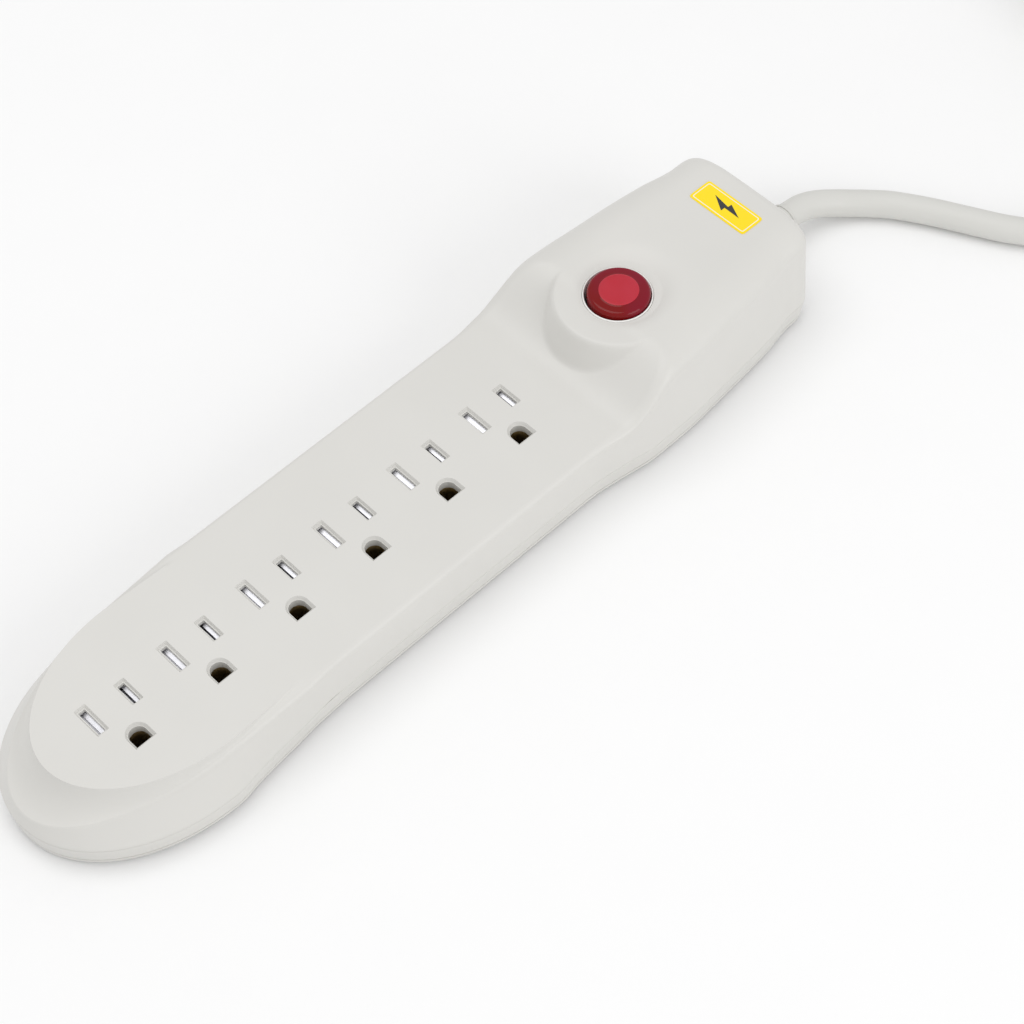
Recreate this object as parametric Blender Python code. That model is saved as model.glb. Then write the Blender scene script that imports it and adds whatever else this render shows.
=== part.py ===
"""Six-outlet power strip with a lit push button, a mains lead and its plug.

The part's frame: +X runs along the strip towards the cord, +Z is up, and the
origin is under the middle of the base, on the surface the strip stands on.
Lengths below are in millimetres; to_metres() turns them into Blender units.
"""

import math

import bmesh
import bpy
from mathutils import Matrix, Vector

MM = 0.001

# Heights of the strip
DECK_Z = 24.0
SEAM_Z = 9.0
SEAM_GAP = 0.3
PARTING_X = 50.0
PARTING_GAP = 0.2
FLOOR_TOP = 2.9
BASE_Z = 0.8
WALL = 2.2

# Outline of the strip at the seam between its two shells
NEAR_END_X = -144.8
REAR_END_X = 145.0
NEAR_CENTRE_X = -96.7
NEAR_EXPONENT = 2.05
FLARE_END_X = -66.0
REAR_START_X = 132.0
REAR_EXPONENT = 3.0
HALF_WIDTH = [
    (-96.7, 34.3), (-88.0, 33.0), (-72.5, 31.4), (-58.0, 30.05), (42.0, 30.05), (54.0, 31.4),
    (66.4, 33.1), (77.3, 33.1), (98.3, 31.7), (119.1, 29.6), (132.0, 27.5),
]

# Rounded edge of the deck, and the scooped ledge around its near end
EDGE_CENTRE_X = -90.5
DECK_EDGE = (42.2, 28.1)
LEDGE_CREST = (52.4, 28.9)
CREST_DROP_SIDE = 2.05
CREST_DROP_END = 8.45
CREST_POWER = 1.6
CREST_ROLL_OUT = 1.0
CREST_ROLL_DOWN = 1.7
EDGE_BAND = 1.2

# Raised head: flat half-width, roll-off and height above the deck
FLAT_HALF = [
    (42.0, 28.4), (56.0, 27.6), (66.0, 25.0), (73.0, 23.2), (81.5, 21.7), (96.5, 17.6),
    (111.5, 16.3), (132.0, 14.7),
]
ROLL_INSET = [(42.0, 0.0), (56.0, 0.3), (66.0, 1.4), (81.5, 2.4), (100.0, 2.6), (132.0, 2.6)]
ROLL_FOOT = [
    (42.0, -1.7), (56.0, -1.2), (62.9, 1.2), (66.0, 3.0), (72.5, 6.5), (81.5, 7.5), (132.0, 7.5),
]
HEAD_SPINE = [(42.0, 11.8), (82.5, 12.4), (106.5, 13.7), (132.0, 12.9)]
SHOULDER_START_X = 54.5
SHOULDER_END_X = 78.5
REAR_ROLL_START_X = 138.8
REAR_ROLL_END_X = 142.5
REAR_ROLL_FOOT = 8.6
REAR_TOP = 12.7
REAR_ROLL_EXPONENT = 5.0

# Button, the round lobe that carries it, and the shallow dish around it
BUTTON_X = 82.7
LOBE_RIM_R = 19.4
LOBE_FOOT_R = 24.0
LOBE_HEIGHT = 11.8
LOBE_WALL_SHARE = 2.0
BUTTON_HOLE_R = 10.9
DISH_R = 13.5
DISH_CENTRE_X = 86.0
CAP_R = 9.65
CAP_TOP_Z = 38.2
CAP_BOTTOM_Z = 29.6
CAP_DOME = 1.9
CAP_WALL = 1.2

# Outlets: two blade slots and a D-shaped earth hole each
OUTLETS = 6
FIRST_OUTLET_X = -108.5
PITCH = 28.35
BLADE_Y = 3.0
BLADE_SPREAD = 6.35
EARTH_Y = -8.9
NEUTRAL_SLOT = (1.1, 4.5)
LIVE_SLOT = (1.1, 3.6)
NEUTRAL_FUNNEL = (2.0, 5.4)
LIVE_FUNNEL = (1.9, 4.45)
EARTH_HALF = 2.75
EARTH_FLAT = 2.9
EARTH_FUNNEL_GROW = 0.85
FUNNEL_DEPTH = 1.0

# Contacts
BAR_START_X = -120.0
BAR_END_X = 44.0
BAR_THICK = 0.8
LEAF_THICK = 0.5
CONTACT_BOTTOM = 7.0
BLADE_CONTACT_TOP = 21.3
EARTH_CONTACT_TOP = 18.5
NEUTRAL_BAR_Y = 10.4
LIVE_BAR_Y = -3.0
EARTH_BAR_Y = -14.8

# Switch
SWITCH_HALF = (12.0, 9.5)
SWITCH_BOTTOM = 9.5
SWITCH_TOP = 26.0
WELL_R = 4.5
WELL_BOTTOM = 21.0
PLUNGER_R = 4.0
PLUNGER_BORE_R = 2.9
TRAVEL = 2.5
TERMINAL_Z = 16.0

# Fasteners and feet
SCREW_PLACES = [(-94.0, 22.0), (14.0, 22.3), (106.0, 20.0)]
SCREW_SHAFT_R = 1.45
SCREW_HEAD_R = 2.8
SCREW_HOLE_R = 1.8
BOSS_R = 3.4
COVER_BOSS_R = 4.6
COVER_BOSS_TOP = 6.5
COUNTERBORE_R = 3.2
COUNTERBORE_TOP = 4.5
FOOT_PLACES = [(-112.0, 17.0), (122.0, 13.0)]
FOOT_R = 6.0
FOOT_TOP = 1.5
CLAMP_X = 131.0
CLAMP_SCREW_Y = 9.5
CLAMP_BOTTOM = 13.7
CLAMP_TOP = 16.2

# Mains lead: 1.83 m of 8.8 mm cord, wound past its visible stretch
CORD_R = 4.4
CORD_Z = 9.0
EXIT_X = 159.0
COIL_CENTRE = (345.0, -24.0)
COIL_R = 47.9
COIL_HALF = 9.1
COIL_HEIGHT = 26.6
LEAD_ROUTE = [
    (159.7, 0.0, 9.0), (161.0, -0.1, 8.9), (165.0, -0.4, 8.6), (168.8, -1.3, 7.9), (172.4, -2.7, 6.9),
    (175.8, -4.6, 5.9), (179.0, -6.8, 5.1), (184.9, -12.2, 4.5), (190.0, -18.3, 4.5), (196.3, -28.6, 4.5),
    (201.8, -39.2, 4.5), (208.0, -50.8, 4.5), (215.2, -60.2, 4.5), (224.6, -67.6, 4.5), (236.5, -72.7, 4.5),
    (252.0, -75.2, 4.5), (271.0, -75.7, 4.5), (290.0, -75.7, 4.5), (308.0, -75.7, 4.5),
]
TAIL_ROUTE = [
    (380.0, -76.0, 18.6), (393.0, -73.0, 15.7), (404.6, -65.4, 13.6), (412.8, -54.0, 12.6),
    (416.2, -43.5, 12.4), (416.6, -38.6, 12.4),
]
PLUG_X = 416.6
PLUG_START_Y = -38.0
PLUG_FACE_Y = 11.0
PLUG_Z = 12.4
BLADE_LENGTH = 17.5
EARTH_PIN_LENGTH = 20.6
PLUG_BLADE_Z = 8.6
PLUG_EARTH_Z = 20.5

ROUND = 24


def to_metres(points):
    return [tuple(c * MM for c in p) for p in points]


def clear_scene():
    for old in list(bpy.data.objects):
        bpy.data.objects.remove(old, do_unlink=True)


def material(name, colour, roughness, metallic=0.0, alpha=1.0):
    made = bpy.data.materials.new(name)
    made.use_nodes = True
    shader = made.node_tree.nodes["Principled BSDF"]
    shader.inputs["Base Color"].default_value = (*colour, 1.0)
    shader.inputs["Roughness"].default_value = roughness
    shader.inputs["Metallic"].default_value = metallic
    shader.inputs["Alpha"].default_value = alpha
    made.diffuse_color = (*colour, alpha)
    return made


def add_object(name, mesh, look):
    made = bpy.data.objects.new(name, mesh)
    bpy.context.scene.collection.objects.link(made)
    if look:
        mesh.materials.append(look)
    return made


def mesh_from(name, points, faces, sharp=35):
    """A mesh in metres whose doubled points are joined and whose faces all point out."""
    bm = bmesh.new()
    corners = [bm.verts.new(p) for p in to_metres(points)]
    for face in faces:
        bm.faces.new([corners[k] for k in face])
    bmesh.ops.remove_doubles(bm, verts=bm.verts, dist=0.00001)
    bmesh.ops.dissolve_degenerate(bm, edges=bm.edges, dist=0.00001)
    bmesh.ops.recalc_face_normals(bm, faces=bm.faces)
    mesh = bpy.data.meshes.new(name)
    bm.to_mesh(mesh)
    bm.free()
    mesh.shade_smooth()
    mesh.set_sharp_from_angle(angle=math.radians(sharp))
    return mesh


def lofted(name, loops, capped, sharp=35):
    """Skin a row of closed loops of equal length, with flat end caps if asked."""
    count = len(loops[0])
    points = [p for loop in loops for p in loop]
    faces = []
    for row in range(len(loops) - 1):
        for k in range(count):
            after = (k + 1) % count
            a, b = row * count, (row + 1) * count
            faces.append((a + k, a + after, b + after, b + k))
    if capped:
        faces.append(tuple(range(count)))
        faces.append(tuple(range(len(points) - count, len(points))))
    return mesh_from(name, points, faces, sharp)


def circle(radius, z, centre=(0.0, 0.0), count=ROUND):
    turns = [2 * math.pi * k / count for k in range(count)]
    return [(centre[0] + radius * math.cos(a), centre[1] + radius * math.sin(a), z) for a in turns]


def turned(name, profile, centre=(0.0, 0.0), count=ROUND, closed_ring=False):
    """Turn (radius, z) points about a vertical axis: capped, or a ring if the profile closes."""
    loops = [circle(r, z, centre, count) for r, z in profile]
    if closed_ring:
        loops.append(loops[0])
    return lofted(name, loops, capped=not closed_ring)


def prism(name, outline, low, high):
    """A flat outline in X and Y, raised from low to high."""
    return lofted(name, [[(x, y, z) for x, y in outline] for z in (low, high)], capped=True)


def box(name, low, high):
    (x0, y0, z0), (x1, y1, z1) = low, high
    return prism(name, [(x0, y0), (x1, y0), (x1, y1), (x0, y1)], z0, z1)


def cutter_group(name):
    return bpy.data.collections.new(name)


def add_cutter(group, mesh):
    tool = bpy.data.objects.new(mesh.name, mesh)
    tool.hide_render = True
    tool.display_type = "WIRE"
    bpy.context.scene.collection.objects.link(tool)
    group.objects.link(tool)
    return tool


def boolean(target, group, operation):
    cut = target.modifiers.new(group.name, "BOOLEAN")
    cut.operation = operation
    cut.operand_type = "COLLECTION"
    cut.collection = group
    cut.solver = "EXACT"


def smooth_curve(points):
    """A cubic through points that keeps their rises and falls and never overshoots."""
    xs, ys = zip(*points)
    steps = [(ys[k + 1] - ys[k]) / (xs[k + 1] - xs[k]) for k in range(len(xs) - 1)]
    slopes = [0.0]
    for before, after in zip(steps, steps[1:]):
        slopes.append(2 * before * after / (before + after) if before * after > 0 else 0.0)
    slopes.append(0.0)

    def value(x):
        x = min(max(x, xs[0]), xs[-1])
        k = max(j for j in range(len(xs) - 1) if xs[j] <= x)
        width = xs[k + 1] - xs[k]
        t = (x - xs[k]) / width
        return (
            ys[k] * (1 + 2 * t) * (1 - t) ** 2 + slopes[k] * width * t * (1 - t) ** 2
            + ys[k + 1] * t * t * (3 - 2 * t) + slopes[k + 1] * width * t * t * (t - 1)
        )

    return value


half_width = smooth_curve(HALF_WIDTH)
flat_half = smooth_curve(FLAT_HALF)
roll_inset = smooth_curve(ROLL_INSET)
roll_foot = smooth_curve(ROLL_FOOT)
head_spine = smooth_curve(HEAD_SPINE)


def ease(t):
    t = min(max(t, 0.0), 1.0)
    return t * t * (3 - 2 * t)


def mix(a, b, t):
    return tuple(p + (q - p) * t for p, q in zip(a, b))


def conic(a, corner, b, steps, weight=0.7071):
    """Points of a quarter-ellipse-like curve from a to b, pulled towards corner."""
    made = []
    for k in range(1, steps + 1):
        t = k / steps
        wa, wc, wb = (1 - t) ** 2, 2 * t * (1 - t) * weight, t * t
        total = wa + wc + wb
        made.append(tuple((wa * p + wc * q + wb * r) / total for p, q, r in zip(a, corner, b)))
    return made


# A station is one cross-section of the strip: ("near", angle) fans round the near end,
# ("flare", share) and ("body", x) run along it, and ("rear", angle) fans round the rear.


def stations(near, flare, waist, head, rear):
    quarter = math.pi / 2
    row = [("near", quarter * k / near) for k in range(near + 1)]
    row += [("flare", k / flare) for k in range(1, flare + 1)]
    row += [("body", x) for x in waist + head]
    return row + [("rear", quarter * k / rear) for k in range(rear + 1)]


def oval(centre_x, reach, half, exponent, angle):
    x = centre_x - reach * math.cos(angle) ** (2 / exponent)
    return x, half * math.sin(angle) ** (2 / exponent)


def rear_corner(half, end_x, exponent, angle):
    x = REAR_START_X + (end_x - REAR_START_X) * math.sin(angle) ** (2 / exponent)
    return x, half * max(math.cos(angle), 0.0) ** (2 / exponent)


def seam_point(station, inset):
    kind, t = station
    if kind == "near":
        reach = NEAR_CENTRE_X - NEAR_END_X - inset
        return oval(NEAR_CENTRE_X, reach, half_width(NEAR_CENTRE_X) - inset, NEAR_EXPONENT, t)
    if kind == "rear":
        half = half_width(REAR_START_X) - inset
        return rear_corner(half, REAR_END_X - inset, REAR_EXPONENT, t)
    x = t if kind == "body" else NEAR_CENTRE_X + (FLARE_END_X - NEAR_CENTRE_X) * t
    return x, half_width(x) - inset


def lobe_height(x, y, inset):
    """The cone that carries the button; inside the shell it is narrower, so its wall stays thick."""
    radius = math.hypot(x - BUTTON_X, y) + LOBE_WALL_SHARE * inset
    share = (LOBE_FOOT_R - radius) / (LOBE_FOOT_R - LOBE_RIM_R)
    return LOBE_HEIGHT * min(max(share, 0.0), 1.0)


def top_height(x, y, inset=0.0):
    share = (x - inset - SHOULDER_START_X) / (SHOULDER_END_X - SHOULDER_START_X)
    return max(head_spine(x) * ease(share), lobe_height(x, y, inset)) - inset


def near_profile(angle, inset):
    """Deck edge, ledge crest and end of the crest's roll on one ray of the near end."""
    edge = oval(EDGE_CENTRE_X, DECK_EDGE[0] - inset, DECK_EDGE[1] - inset, 2, angle)
    crest = oval(EDGE_CENTRE_X, LEDGE_CREST[0] - inset, LEDGE_CREST[1] - inset, 2, angle)
    reach = (LEDGE_CREST[0] - inset + CREST_ROLL_OUT, LEDGE_CREST[1] - inset + CREST_ROLL_OUT)
    roll = oval(EDGE_CENTRE_X, *reach, 2, angle)
    drop = CREST_DROP_SIDE + CREST_DROP_END * max(math.cos(angle), 0.0) ** CREST_POWER
    return (
        (*edge, -inset), (*crest, -drop - inset), (*roll, -drop - CREST_ROLL_DOWN - inset),
    )


def body_profile(x, inset):
    """The same three points where the strip runs straight."""
    flat = flat_half(x) - inset
    band = flat - EDGE_BAND
    roll = half_width(x) - roll_inset(x) - inset
    crest = (x, flat, top_height(x, flat, inset))
    return (x, band, top_height(x, band, inset)), crest, (x, roll, roll_foot(x) - inset)


def outer_points(station, inset, across, scoop, roll):
    """One half of the top shell's section, from its centre line out to the seam."""
    kind, t = station
    if kind == "near":
        edge, crest, foot = near_profile(t, inset)
        centre = (EDGE_CENTRE_X, 0.0, -inset)
        corner = mix(crest, foot, 0.8)[:2] + (crest[2] - 0.3,)
    elif kind == "flare":
        side = near_profile(math.pi / 2, inset)
        straight = body_profile(FLARE_END_X, inset)
        edge, crest, foot = (mix(a, b, t) for a, b in zip(side, straight))
        centre = (edge[0], 0.0, -inset)
        corner = foot[:2] + (crest[2] - 0.3 * (1 - t),)
    elif kind == "body":
        edge, crest, foot = body_profile(t, inset)
        centre = (t, 0.0, top_height(t, 0.0, inset))
        corner = foot[:2] + (crest[2],)
    else:
        side = body_profile(REAR_START_X, inset)
        ends = (
            (REAR_ROLL_START_X - 1, REAR_TOP), (REAR_ROLL_START_X, REAR_TOP),
            (REAR_ROLL_END_X, REAR_ROLL_FOOT),
        )
        share = math.sin(t) ** 2
        edge, crest, foot = (
            (*rear_corner(p[1], end_x - inset, REAR_ROLL_EXPONENT, t),
             p[2] + (end_z - inset - p[2]) * share)
            for p, (end_x, end_z) in zip(side, ends)
        )
        centre = (REAR_START_X, 0.0, head_spine(REAR_START_X) - inset)
        corner = foot[:2] + (crest[2],)

    made = [centre]
    for k in range(1, across + 1):
        x, y, z = mix(centre, edge, k / across)
        if kind == "body":
            z = top_height(x, y, inset)
        made.append((x, y, z))
    under_edge = mix(edge, crest, 0.22)[:2] + (edge[2] + 0.78 * (crest[2] - edge[2]),)
    made += conic(edge, under_edge, crest, scoop, weight=1.0)
    made += conic(crest, corner, foot, roll)
    made.append((*seam_point(station, inset), SEAM_Z - DECK_Z))
    return [(x, y, z + DECK_Z) for x, y, z in made]


def whole_loop(half):
    """Mirror a half section about the centre line into one closed loop."""
    return half + [(x, -y, z) for x, y, z in reversed(half)]


def housing_mesh():
    waist = [-58.0, -40.0, 0.0, 42.0]
    head = [48.0, 52.0, 55.0, 58.0, 60.5, 63.0, 65.5, 68.0, 70.5, 73.0, 76.0, 79.0, 88.0, 104.0, 118.0]
    loops = []
    for station in stations(10, 3, waist, head, 7):
        outside = outer_points(station, 0.0, 7, 3, 3)
        inside = outer_points(station, WALL, 6, 1, 2)
        loops.append(whole_loop(outside + inside[::-1]))
    return lofted("top_shell", loops, capped=False)


def rounded_slot(half_x, half_y, place):
    x, y = place
    return [(x - half_x, y - half_y), (x + half_x, y - half_y),
            (x + half_x, y + half_y), (x - half_x, y + half_y)]


def earth_outline(place, grow):
    """A D lying on its flat: a straight foot, short sides and a round top."""
    x, y = place
    half = EARTH_HALF + grow
    arc = [math.pi * k / 8 for k in range(9)]
    return [(x - half, y - EARTH_FLAT - grow), (x + half, y - EARTH_FLAT - grow)] + [
        (x + half * math.cos(a), y + half * math.sin(a)) for a in arc
    ]


def funnel(name, inner, outer):
    """A tapered mouth from the hole's own outline up to a wider one at the face."""
    low, high = DECK_Z - FUNNEL_DEPTH, DECK_Z + 0.1
    loops = [[(*p, low) for p in inner], [(*p, high) for p in outer]]
    return lofted(name, loops, capped=True)


def add_outlet(cuts, number):
    x = FIRST_OUTLET_X + PITCH * number
    holes = [
        ((x - BLADE_SPREAD, BLADE_Y), NEUTRAL_SLOT, NEUTRAL_FUNNEL),
        ((x + BLADE_SPREAD, BLADE_Y), LIVE_SLOT, LIVE_FUNNEL),
    ]
    for place, slot, mouth in holes:
        inner, outer = rounded_slot(*slot, place), rounded_slot(*mouth, place)
        add_cutter(cuts, prism("slot_cut", inner, DECK_Z - 2 * WALL, DECK_Z - FUNNEL_DEPTH / 2))
        add_cutter(cuts, funnel("funnel_cut", rounded_slot(slot[0] + 0.1, slot[1] + 0.1, place), outer))
    place = (x, EARTH_Y)
    add_cutter(cuts, prism("earth_cut", earth_outline(place, 0.0), DECK_Z - 2 * WALL, DECK_Z + 1))
    add_cutter(cuts, funnel("earth_funnel_cut", earth_outline(place, 0.1),
                            earth_outline(place, EARTH_FUNNEL_GROW)))


def exit_cut(cuts):
    ring = circle(5.6, 0.0)
    loops = [[(x, y, CORD_Z + z) for y, z, _ in ring] for x in (138.0, 150.0)]
    add_cutter(cuts, lofted("exit_cut", loops, capped=True))


def screw_places():
    return [(x, side * y) for x, y in SCREW_PLACES for side in (1, -1)]


def boss_top(x, y):
    """How far up a boss reaches: half way into the wall above it."""
    foot = half_width(x) - roll_inset(x)
    flat = flat_half(x)
    share = min(max((y - flat) / (foot - flat), 0.0), 1.0)
    drop = (top_height(x, flat) - roll_foot(x)) * (1 - math.sqrt(1 - share * share))
    return DECK_Z + top_height(x, min(y, flat)) - drop - WALL / 2


def make_moulding(name, off_cut, look):
    """One of the top shell's two mouldings: the whole shell without its off-cut at the parting."""
    housing = add_object(name, housing_mesh(), look)
    bosses, cuts = cutter_group("housing_bosses"), cutter_group("housing_cuts")
    for x, y in screw_places():
        low = COVER_BOSS_TOP + SEAM_GAP
        add_cutter(bosses, turned("boss", [(BOSS_R, low), (BOSS_R, boss_top(x, abs(y) + 2))], (x, y), 12))
        add_cutter(cuts, turned("boss_bore", [(SCREW_HOLE_R, low - 1), (SCREW_HOLE_R, 17.0)], (x, y), 12))
    for number in range(OUTLETS):
        add_outlet(cuts, number)
    low = DECK_Z + LOBE_HEIGHT
    centre = (BUTTON_X, 0.0)
    add_cutter(cuts, turned("button_cut", [(BUTTON_HOLE_R, low - 5), (BUTTON_HOLE_R, low + 5)], centre, 32))
    dish = [(DISH_R, low), (DISH_R + 1.0, low + 3.0)]
    add_cutter(cuts, turned("dish_cut", dish, (DISH_CENTRE_X, 0.0), 32))
    exit_cut(cuts)
    boolean(housing, bosses, "UNION")
    boolean(housing, cuts, "DIFFERENCE")
    parting = cutter_group("parting")
    start, end = off_cut
    add_cutter(parting, box("off_cut", (start, -2 * DECK_Z, -DECK_Z), (end, 2 * DECK_Z, 2 * DECK_Z)))
    boolean(housing, parting, "DIFFERENCE")


def make_housing(look):
    """The deck with its outlets, and the head that carries the button and takes the lead."""
    beyond = 2 * REAR_END_X
    make_moulding("deck_housing", (PARTING_X - PARTING_GAP / 2, beyond), look)
    make_moulding("head_housing", (-beyond, PARTING_X + PARTING_GAP / 2), look)


def cover_mesh():
    outside = [(3.2, BASE_Z), (1.7, 0.9), (0.8, 1.4), (0.7, 2.1), (1.2, 2.5), (0.65, 2.9),
               (0.0, SEAM_Z - SEAM_GAP)]
    inside = [(WALL, SEAM_Z - SEAM_GAP), (WALL + 0.3, 4.0), (WALL + 1.0, FLOOR_TOP)]
    waist = [-58.0, -20.0, 42.0]
    head = [48.0, 54.0, 60.0, 66.4, 77.3, 90.0, 105.0, 119.0]
    loops = []
    for station in stations(9, 3, waist, head, 6):
        half = [(*seam_point(station, inset), z) for inset, z in outside + inside]
        x = {"near": EDGE_CENTRE_X, "rear": REAR_START_X}.get(station[0], half[0][0])
        loops.append(whole_loop([(x, 0.0, BASE_Z)] + half + [(x, 0.0, FLOOR_TOP)]))
    return lofted("bottom_cover", loops, capped=False)


def foot_places():
    return [(x, side * y) for x, y in FOOT_PLACES for side in (1, -1)]


def make_cover(look):
    cover = add_object("bottom_cover", cover_mesh(), look)
    bosses, cuts = cutter_group("cover_bosses"), cutter_group("cover_cuts")
    low = (BASE_Z + FLOOR_TOP) / 2
    for place in screw_places():
        add_cutter(bosses, turned("pillar", [(COVER_BOSS_R, low), (COVER_BOSS_R, COVER_BOSS_TOP)], place, 16))
        bore = [(COUNTERBORE_R, 0.5), (COUNTERBORE_R, COUNTERBORE_TOP), (SCREW_HOLE_R, COUNTERBORE_TOP),
                (SCREW_HOLE_R, COVER_BOSS_TOP + 1)]
        add_cutter(cuts, turned("screw_bore", bore, place, 16))
    for side in (1, -1):
        place = (CLAMP_X, side * CLAMP_SCREW_Y)
        add_cutter(bosses, turned("clamp_boss", [(3.2, low), (3.2, CLAMP_BOTTOM - 0.3)], place, 16))
        add_cutter(cuts, turned("clamp_bore", [(1.75, 6.5), (1.75, CLAMP_BOTTOM + 1)], place, 12))
    for place in foot_places():
        add_cutter(cuts, turned("foot_pocket", [(FOOT_R + 0.3, 0.5), (FOOT_R + 0.3, FOOT_TOP + 0.3)], place))
    exit_cut(cuts)
    boolean(cover, bosses, "UNION")
    boolean(cover, cuts, "DIFFERENCE")


def make_feet(look):
    for number, place in enumerate(foot_places(), 1):
        profile = [(FOOT_R - 0.5, 0.0), (FOOT_R, 0.5), (FOOT_R, FOOT_TOP)]
        add_object(f"foot_{number}", turned("foot", profile, place), look)


def screw_mesh(name, place, head_low, shaft_end):
    """A pan-head screw with a round head; the shaft runs from head_low to shaft_end."""
    up = 1 if shaft_end > head_low else -1
    profile = [
        (SCREW_HEAD_R - 0.6, head_low), (SCREW_HEAD_R, head_low + 0.6 * up),
        (SCREW_HEAD_R, head_low + 1.6 * up), (SCREW_SHAFT_R, head_low + 1.6 * up),
        (SCREW_SHAFT_R, shaft_end - up), (0.5, shaft_end),
    ]
    return turned(name, profile, place, 12)


def make_screws(look):
    for number, place in enumerate(screw_places(), 1):
        add_object(f"cover_screw_{number}", screw_mesh("cover_screw", place, 2.6, 16.0), look)
    for number, side in enumerate((1, -1), 1):
        place = (CLAMP_X, side * CLAMP_SCREW_Y)
        add_object(f"clamp_screw_{number}", screw_mesh("clamp_screw", place, CLAMP_TOP + 1.9, 7.0), look)


def comb(name, bar_y, reach, gap, places, toward, top):
    """A bar with a pair of leaves at each place, seen from above, that grip a blade between them."""
    start, end = BAR_START_X, BAR_END_X
    near = bar_y + toward * BAR_THICK / 2
    outline = [(end, near - toward * BAR_THICK), (start, near - toward * BAR_THICK), (start, near)]
    waist_y, tip_y = near + toward * reach * 0.65, near + toward * reach
    wide, narrow = gap / 2 + 0.6, gap / 2
    for x in places:
        outside = [(x - wide - LEAF_THICK, near), (x - narrow - LEAF_THICK, waist_y),
                   (x - wide - LEAF_THICK, tip_y)]
        inside = [(x - wide, tip_y), (x - narrow, waist_y), (x - wide, near)]
        outline += outside + inside
        outline += [(2 * x - px, py) for px, py in reversed(outside + inside)]
    outline.append((end, near))
    return prism(name, outline, CONTACT_BOTTOM, top)


def make_contacts(plated, brass):
    middles = [FIRST_OUTLET_X + PITCH * k for k in range(OUTLETS)]
    left, right = ([x + side * BLADE_SPREAD for x in middles] for side in (-1, 1))
    neutral = comb("neutral_busbar", NEUTRAL_BAR_Y, 11.5, 1.2, left, -1, BLADE_CONTACT_TOP)
    live = comb("live_busbar", LIVE_BAR_Y, 9.6, 1.2, right, 1, BLADE_CONTACT_TOP)
    earth = comb("earth_busbar", EARTH_BAR_Y, 8.8, 4.5, middles, 1, EARTH_CONTACT_TOP)
    add_object("neutral_busbar", neutral, plated)
    add_object("live_busbar", live, plated)
    add_object("earth_busbar", earth, brass)


def make_switch(looks):
    hx, hy = SWITCH_HALF
    centre = (BUTTON_X, 0.0)
    low, high = (BUTTON_X - hx, -hy, SWITCH_BOTTOM), (BUTTON_X + hx, hy, SWITCH_TOP)
    body = add_object("switch_body", box("switch_body", low, high), looks["black"])
    cuts = cutter_group("switch_cuts")
    add_cutter(cuts, turned("well", [(WELL_R, WELL_BOTTOM), (WELL_R, SWITCH_TOP + 1)], centre))
    boolean(body, cuts, "DIFFERENCE")
    ring = [(9.95, 26.4), (10.55, 26.4), (10.55, 35.9), (10.25, 36.1), (9.95, 35.9)]
    add_object("button_bezel", turned("button_bezel", ring, centre, 32, closed_ring=True), looks["bezel"])
    lamp = [(1.2, WELL_BOTTOM + 0.3), (2.3, WELL_BOTTOM + 1.2), (2.3, 29.5), (1.4, 31.0)]
    add_object("neon_lamp", turned("neon_lamp", lamp, centre, 12), looks["glass"])
    for name, x0, x1, y in (
        ("line_terminal", BUTTON_X + hx + 0.3, BUTTON_X + hx + 6.3, -4.5),
        ("load_terminal", BUTTON_X - hx - 6.3, BUTTON_X - hx - 0.3, 4.5),
    ):
        tab = box(name, (x0, y - 3.15, TERMINAL_Z - 0.4), (x1, y + 3.15, TERMINAL_Z + 0.4))
        add_object(name, tab, looks["brass"])


def cap_profile():
    """The domed cap from the middle of its hollow, round its skirt, to the middle of its dome."""
    rim_z = CAP_TOP_Z - CAP_DOME
    dome = [
        (CAP_R * math.cos(a), rim_z + CAP_DOME * math.sin(a))
        for a in (math.pi / 2 * k / 6 for k in range(6))
    ]
    hollow = [(1.0, CAP_TOP_Z - 1.2), (6.8, CAP_TOP_Z - 1.9), (CAP_R - CAP_WALL, rim_z - 0.9)]
    return hollow + [(CAP_R - CAP_WALL, CAP_BOTTOM_Z), (CAP_R, CAP_BOTTOM_Z)] + dome + [(1.0, CAP_TOP_Z)]


def moving_object(name, mesh, look, pivot):
    """Place a moving piece so that its origin lies on the button's axis."""
    mesh.transform(Matrix.Translation(-Vector((BUTTON_X * MM, 0.0, 0.0))))
    made = add_object(name, mesh, look)
    made.parent = pivot
    return made


def make_button(looks):
    pivot = bpy.data.objects.new("button_axis", None)
    pivot.location = (BUTTON_X * MM, 0.0, 0.0)
    bpy.context.scene.collection.objects.link(pivot)
    centre = (BUTTON_X, 0.0)
    cap = turned("button_cap", cap_profile(), centre, 32)
    moving_object("button_cap", cap, looks["cap"], pivot)
    disc = turned("button_diffuser", [(6.3, 34.6), (6.3, 35.5)], centre)
    moving_object("button_diffuser", disc, looks["diffuser"], pivot)
    tube = [(PLUNGER_BORE_R, 24.2), (PLUNGER_R, 24.2), (PLUNGER_R, 34.3), (PLUNGER_BORE_R, 34.3)]
    plunger = turned("plunger", tube, centre, 16, closed_ring=True)
    moving_object("plunger", plunger, looks["bezel"], pivot)


def spring_points(radius, low, high, turns, per_turn):
    """A coil spring's centre line, with a closed turn at each end."""
    made = []
    for k in range(turns * per_turn + 1):
        turn = k / per_turn
        rise = ease((turn - 0.4) / (turns - 0.8))
        share = 0.5 * rise + 0.5 * min(max((turn - 0.7) / (turns - 1.4), 0.0), 1.0)
        angle = 2 * math.pi * turn
        z = low + (high - low) * share
        made.append((BUTTON_X + radius * math.cos(angle), radius * math.sin(angle), z))
    return made


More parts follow.
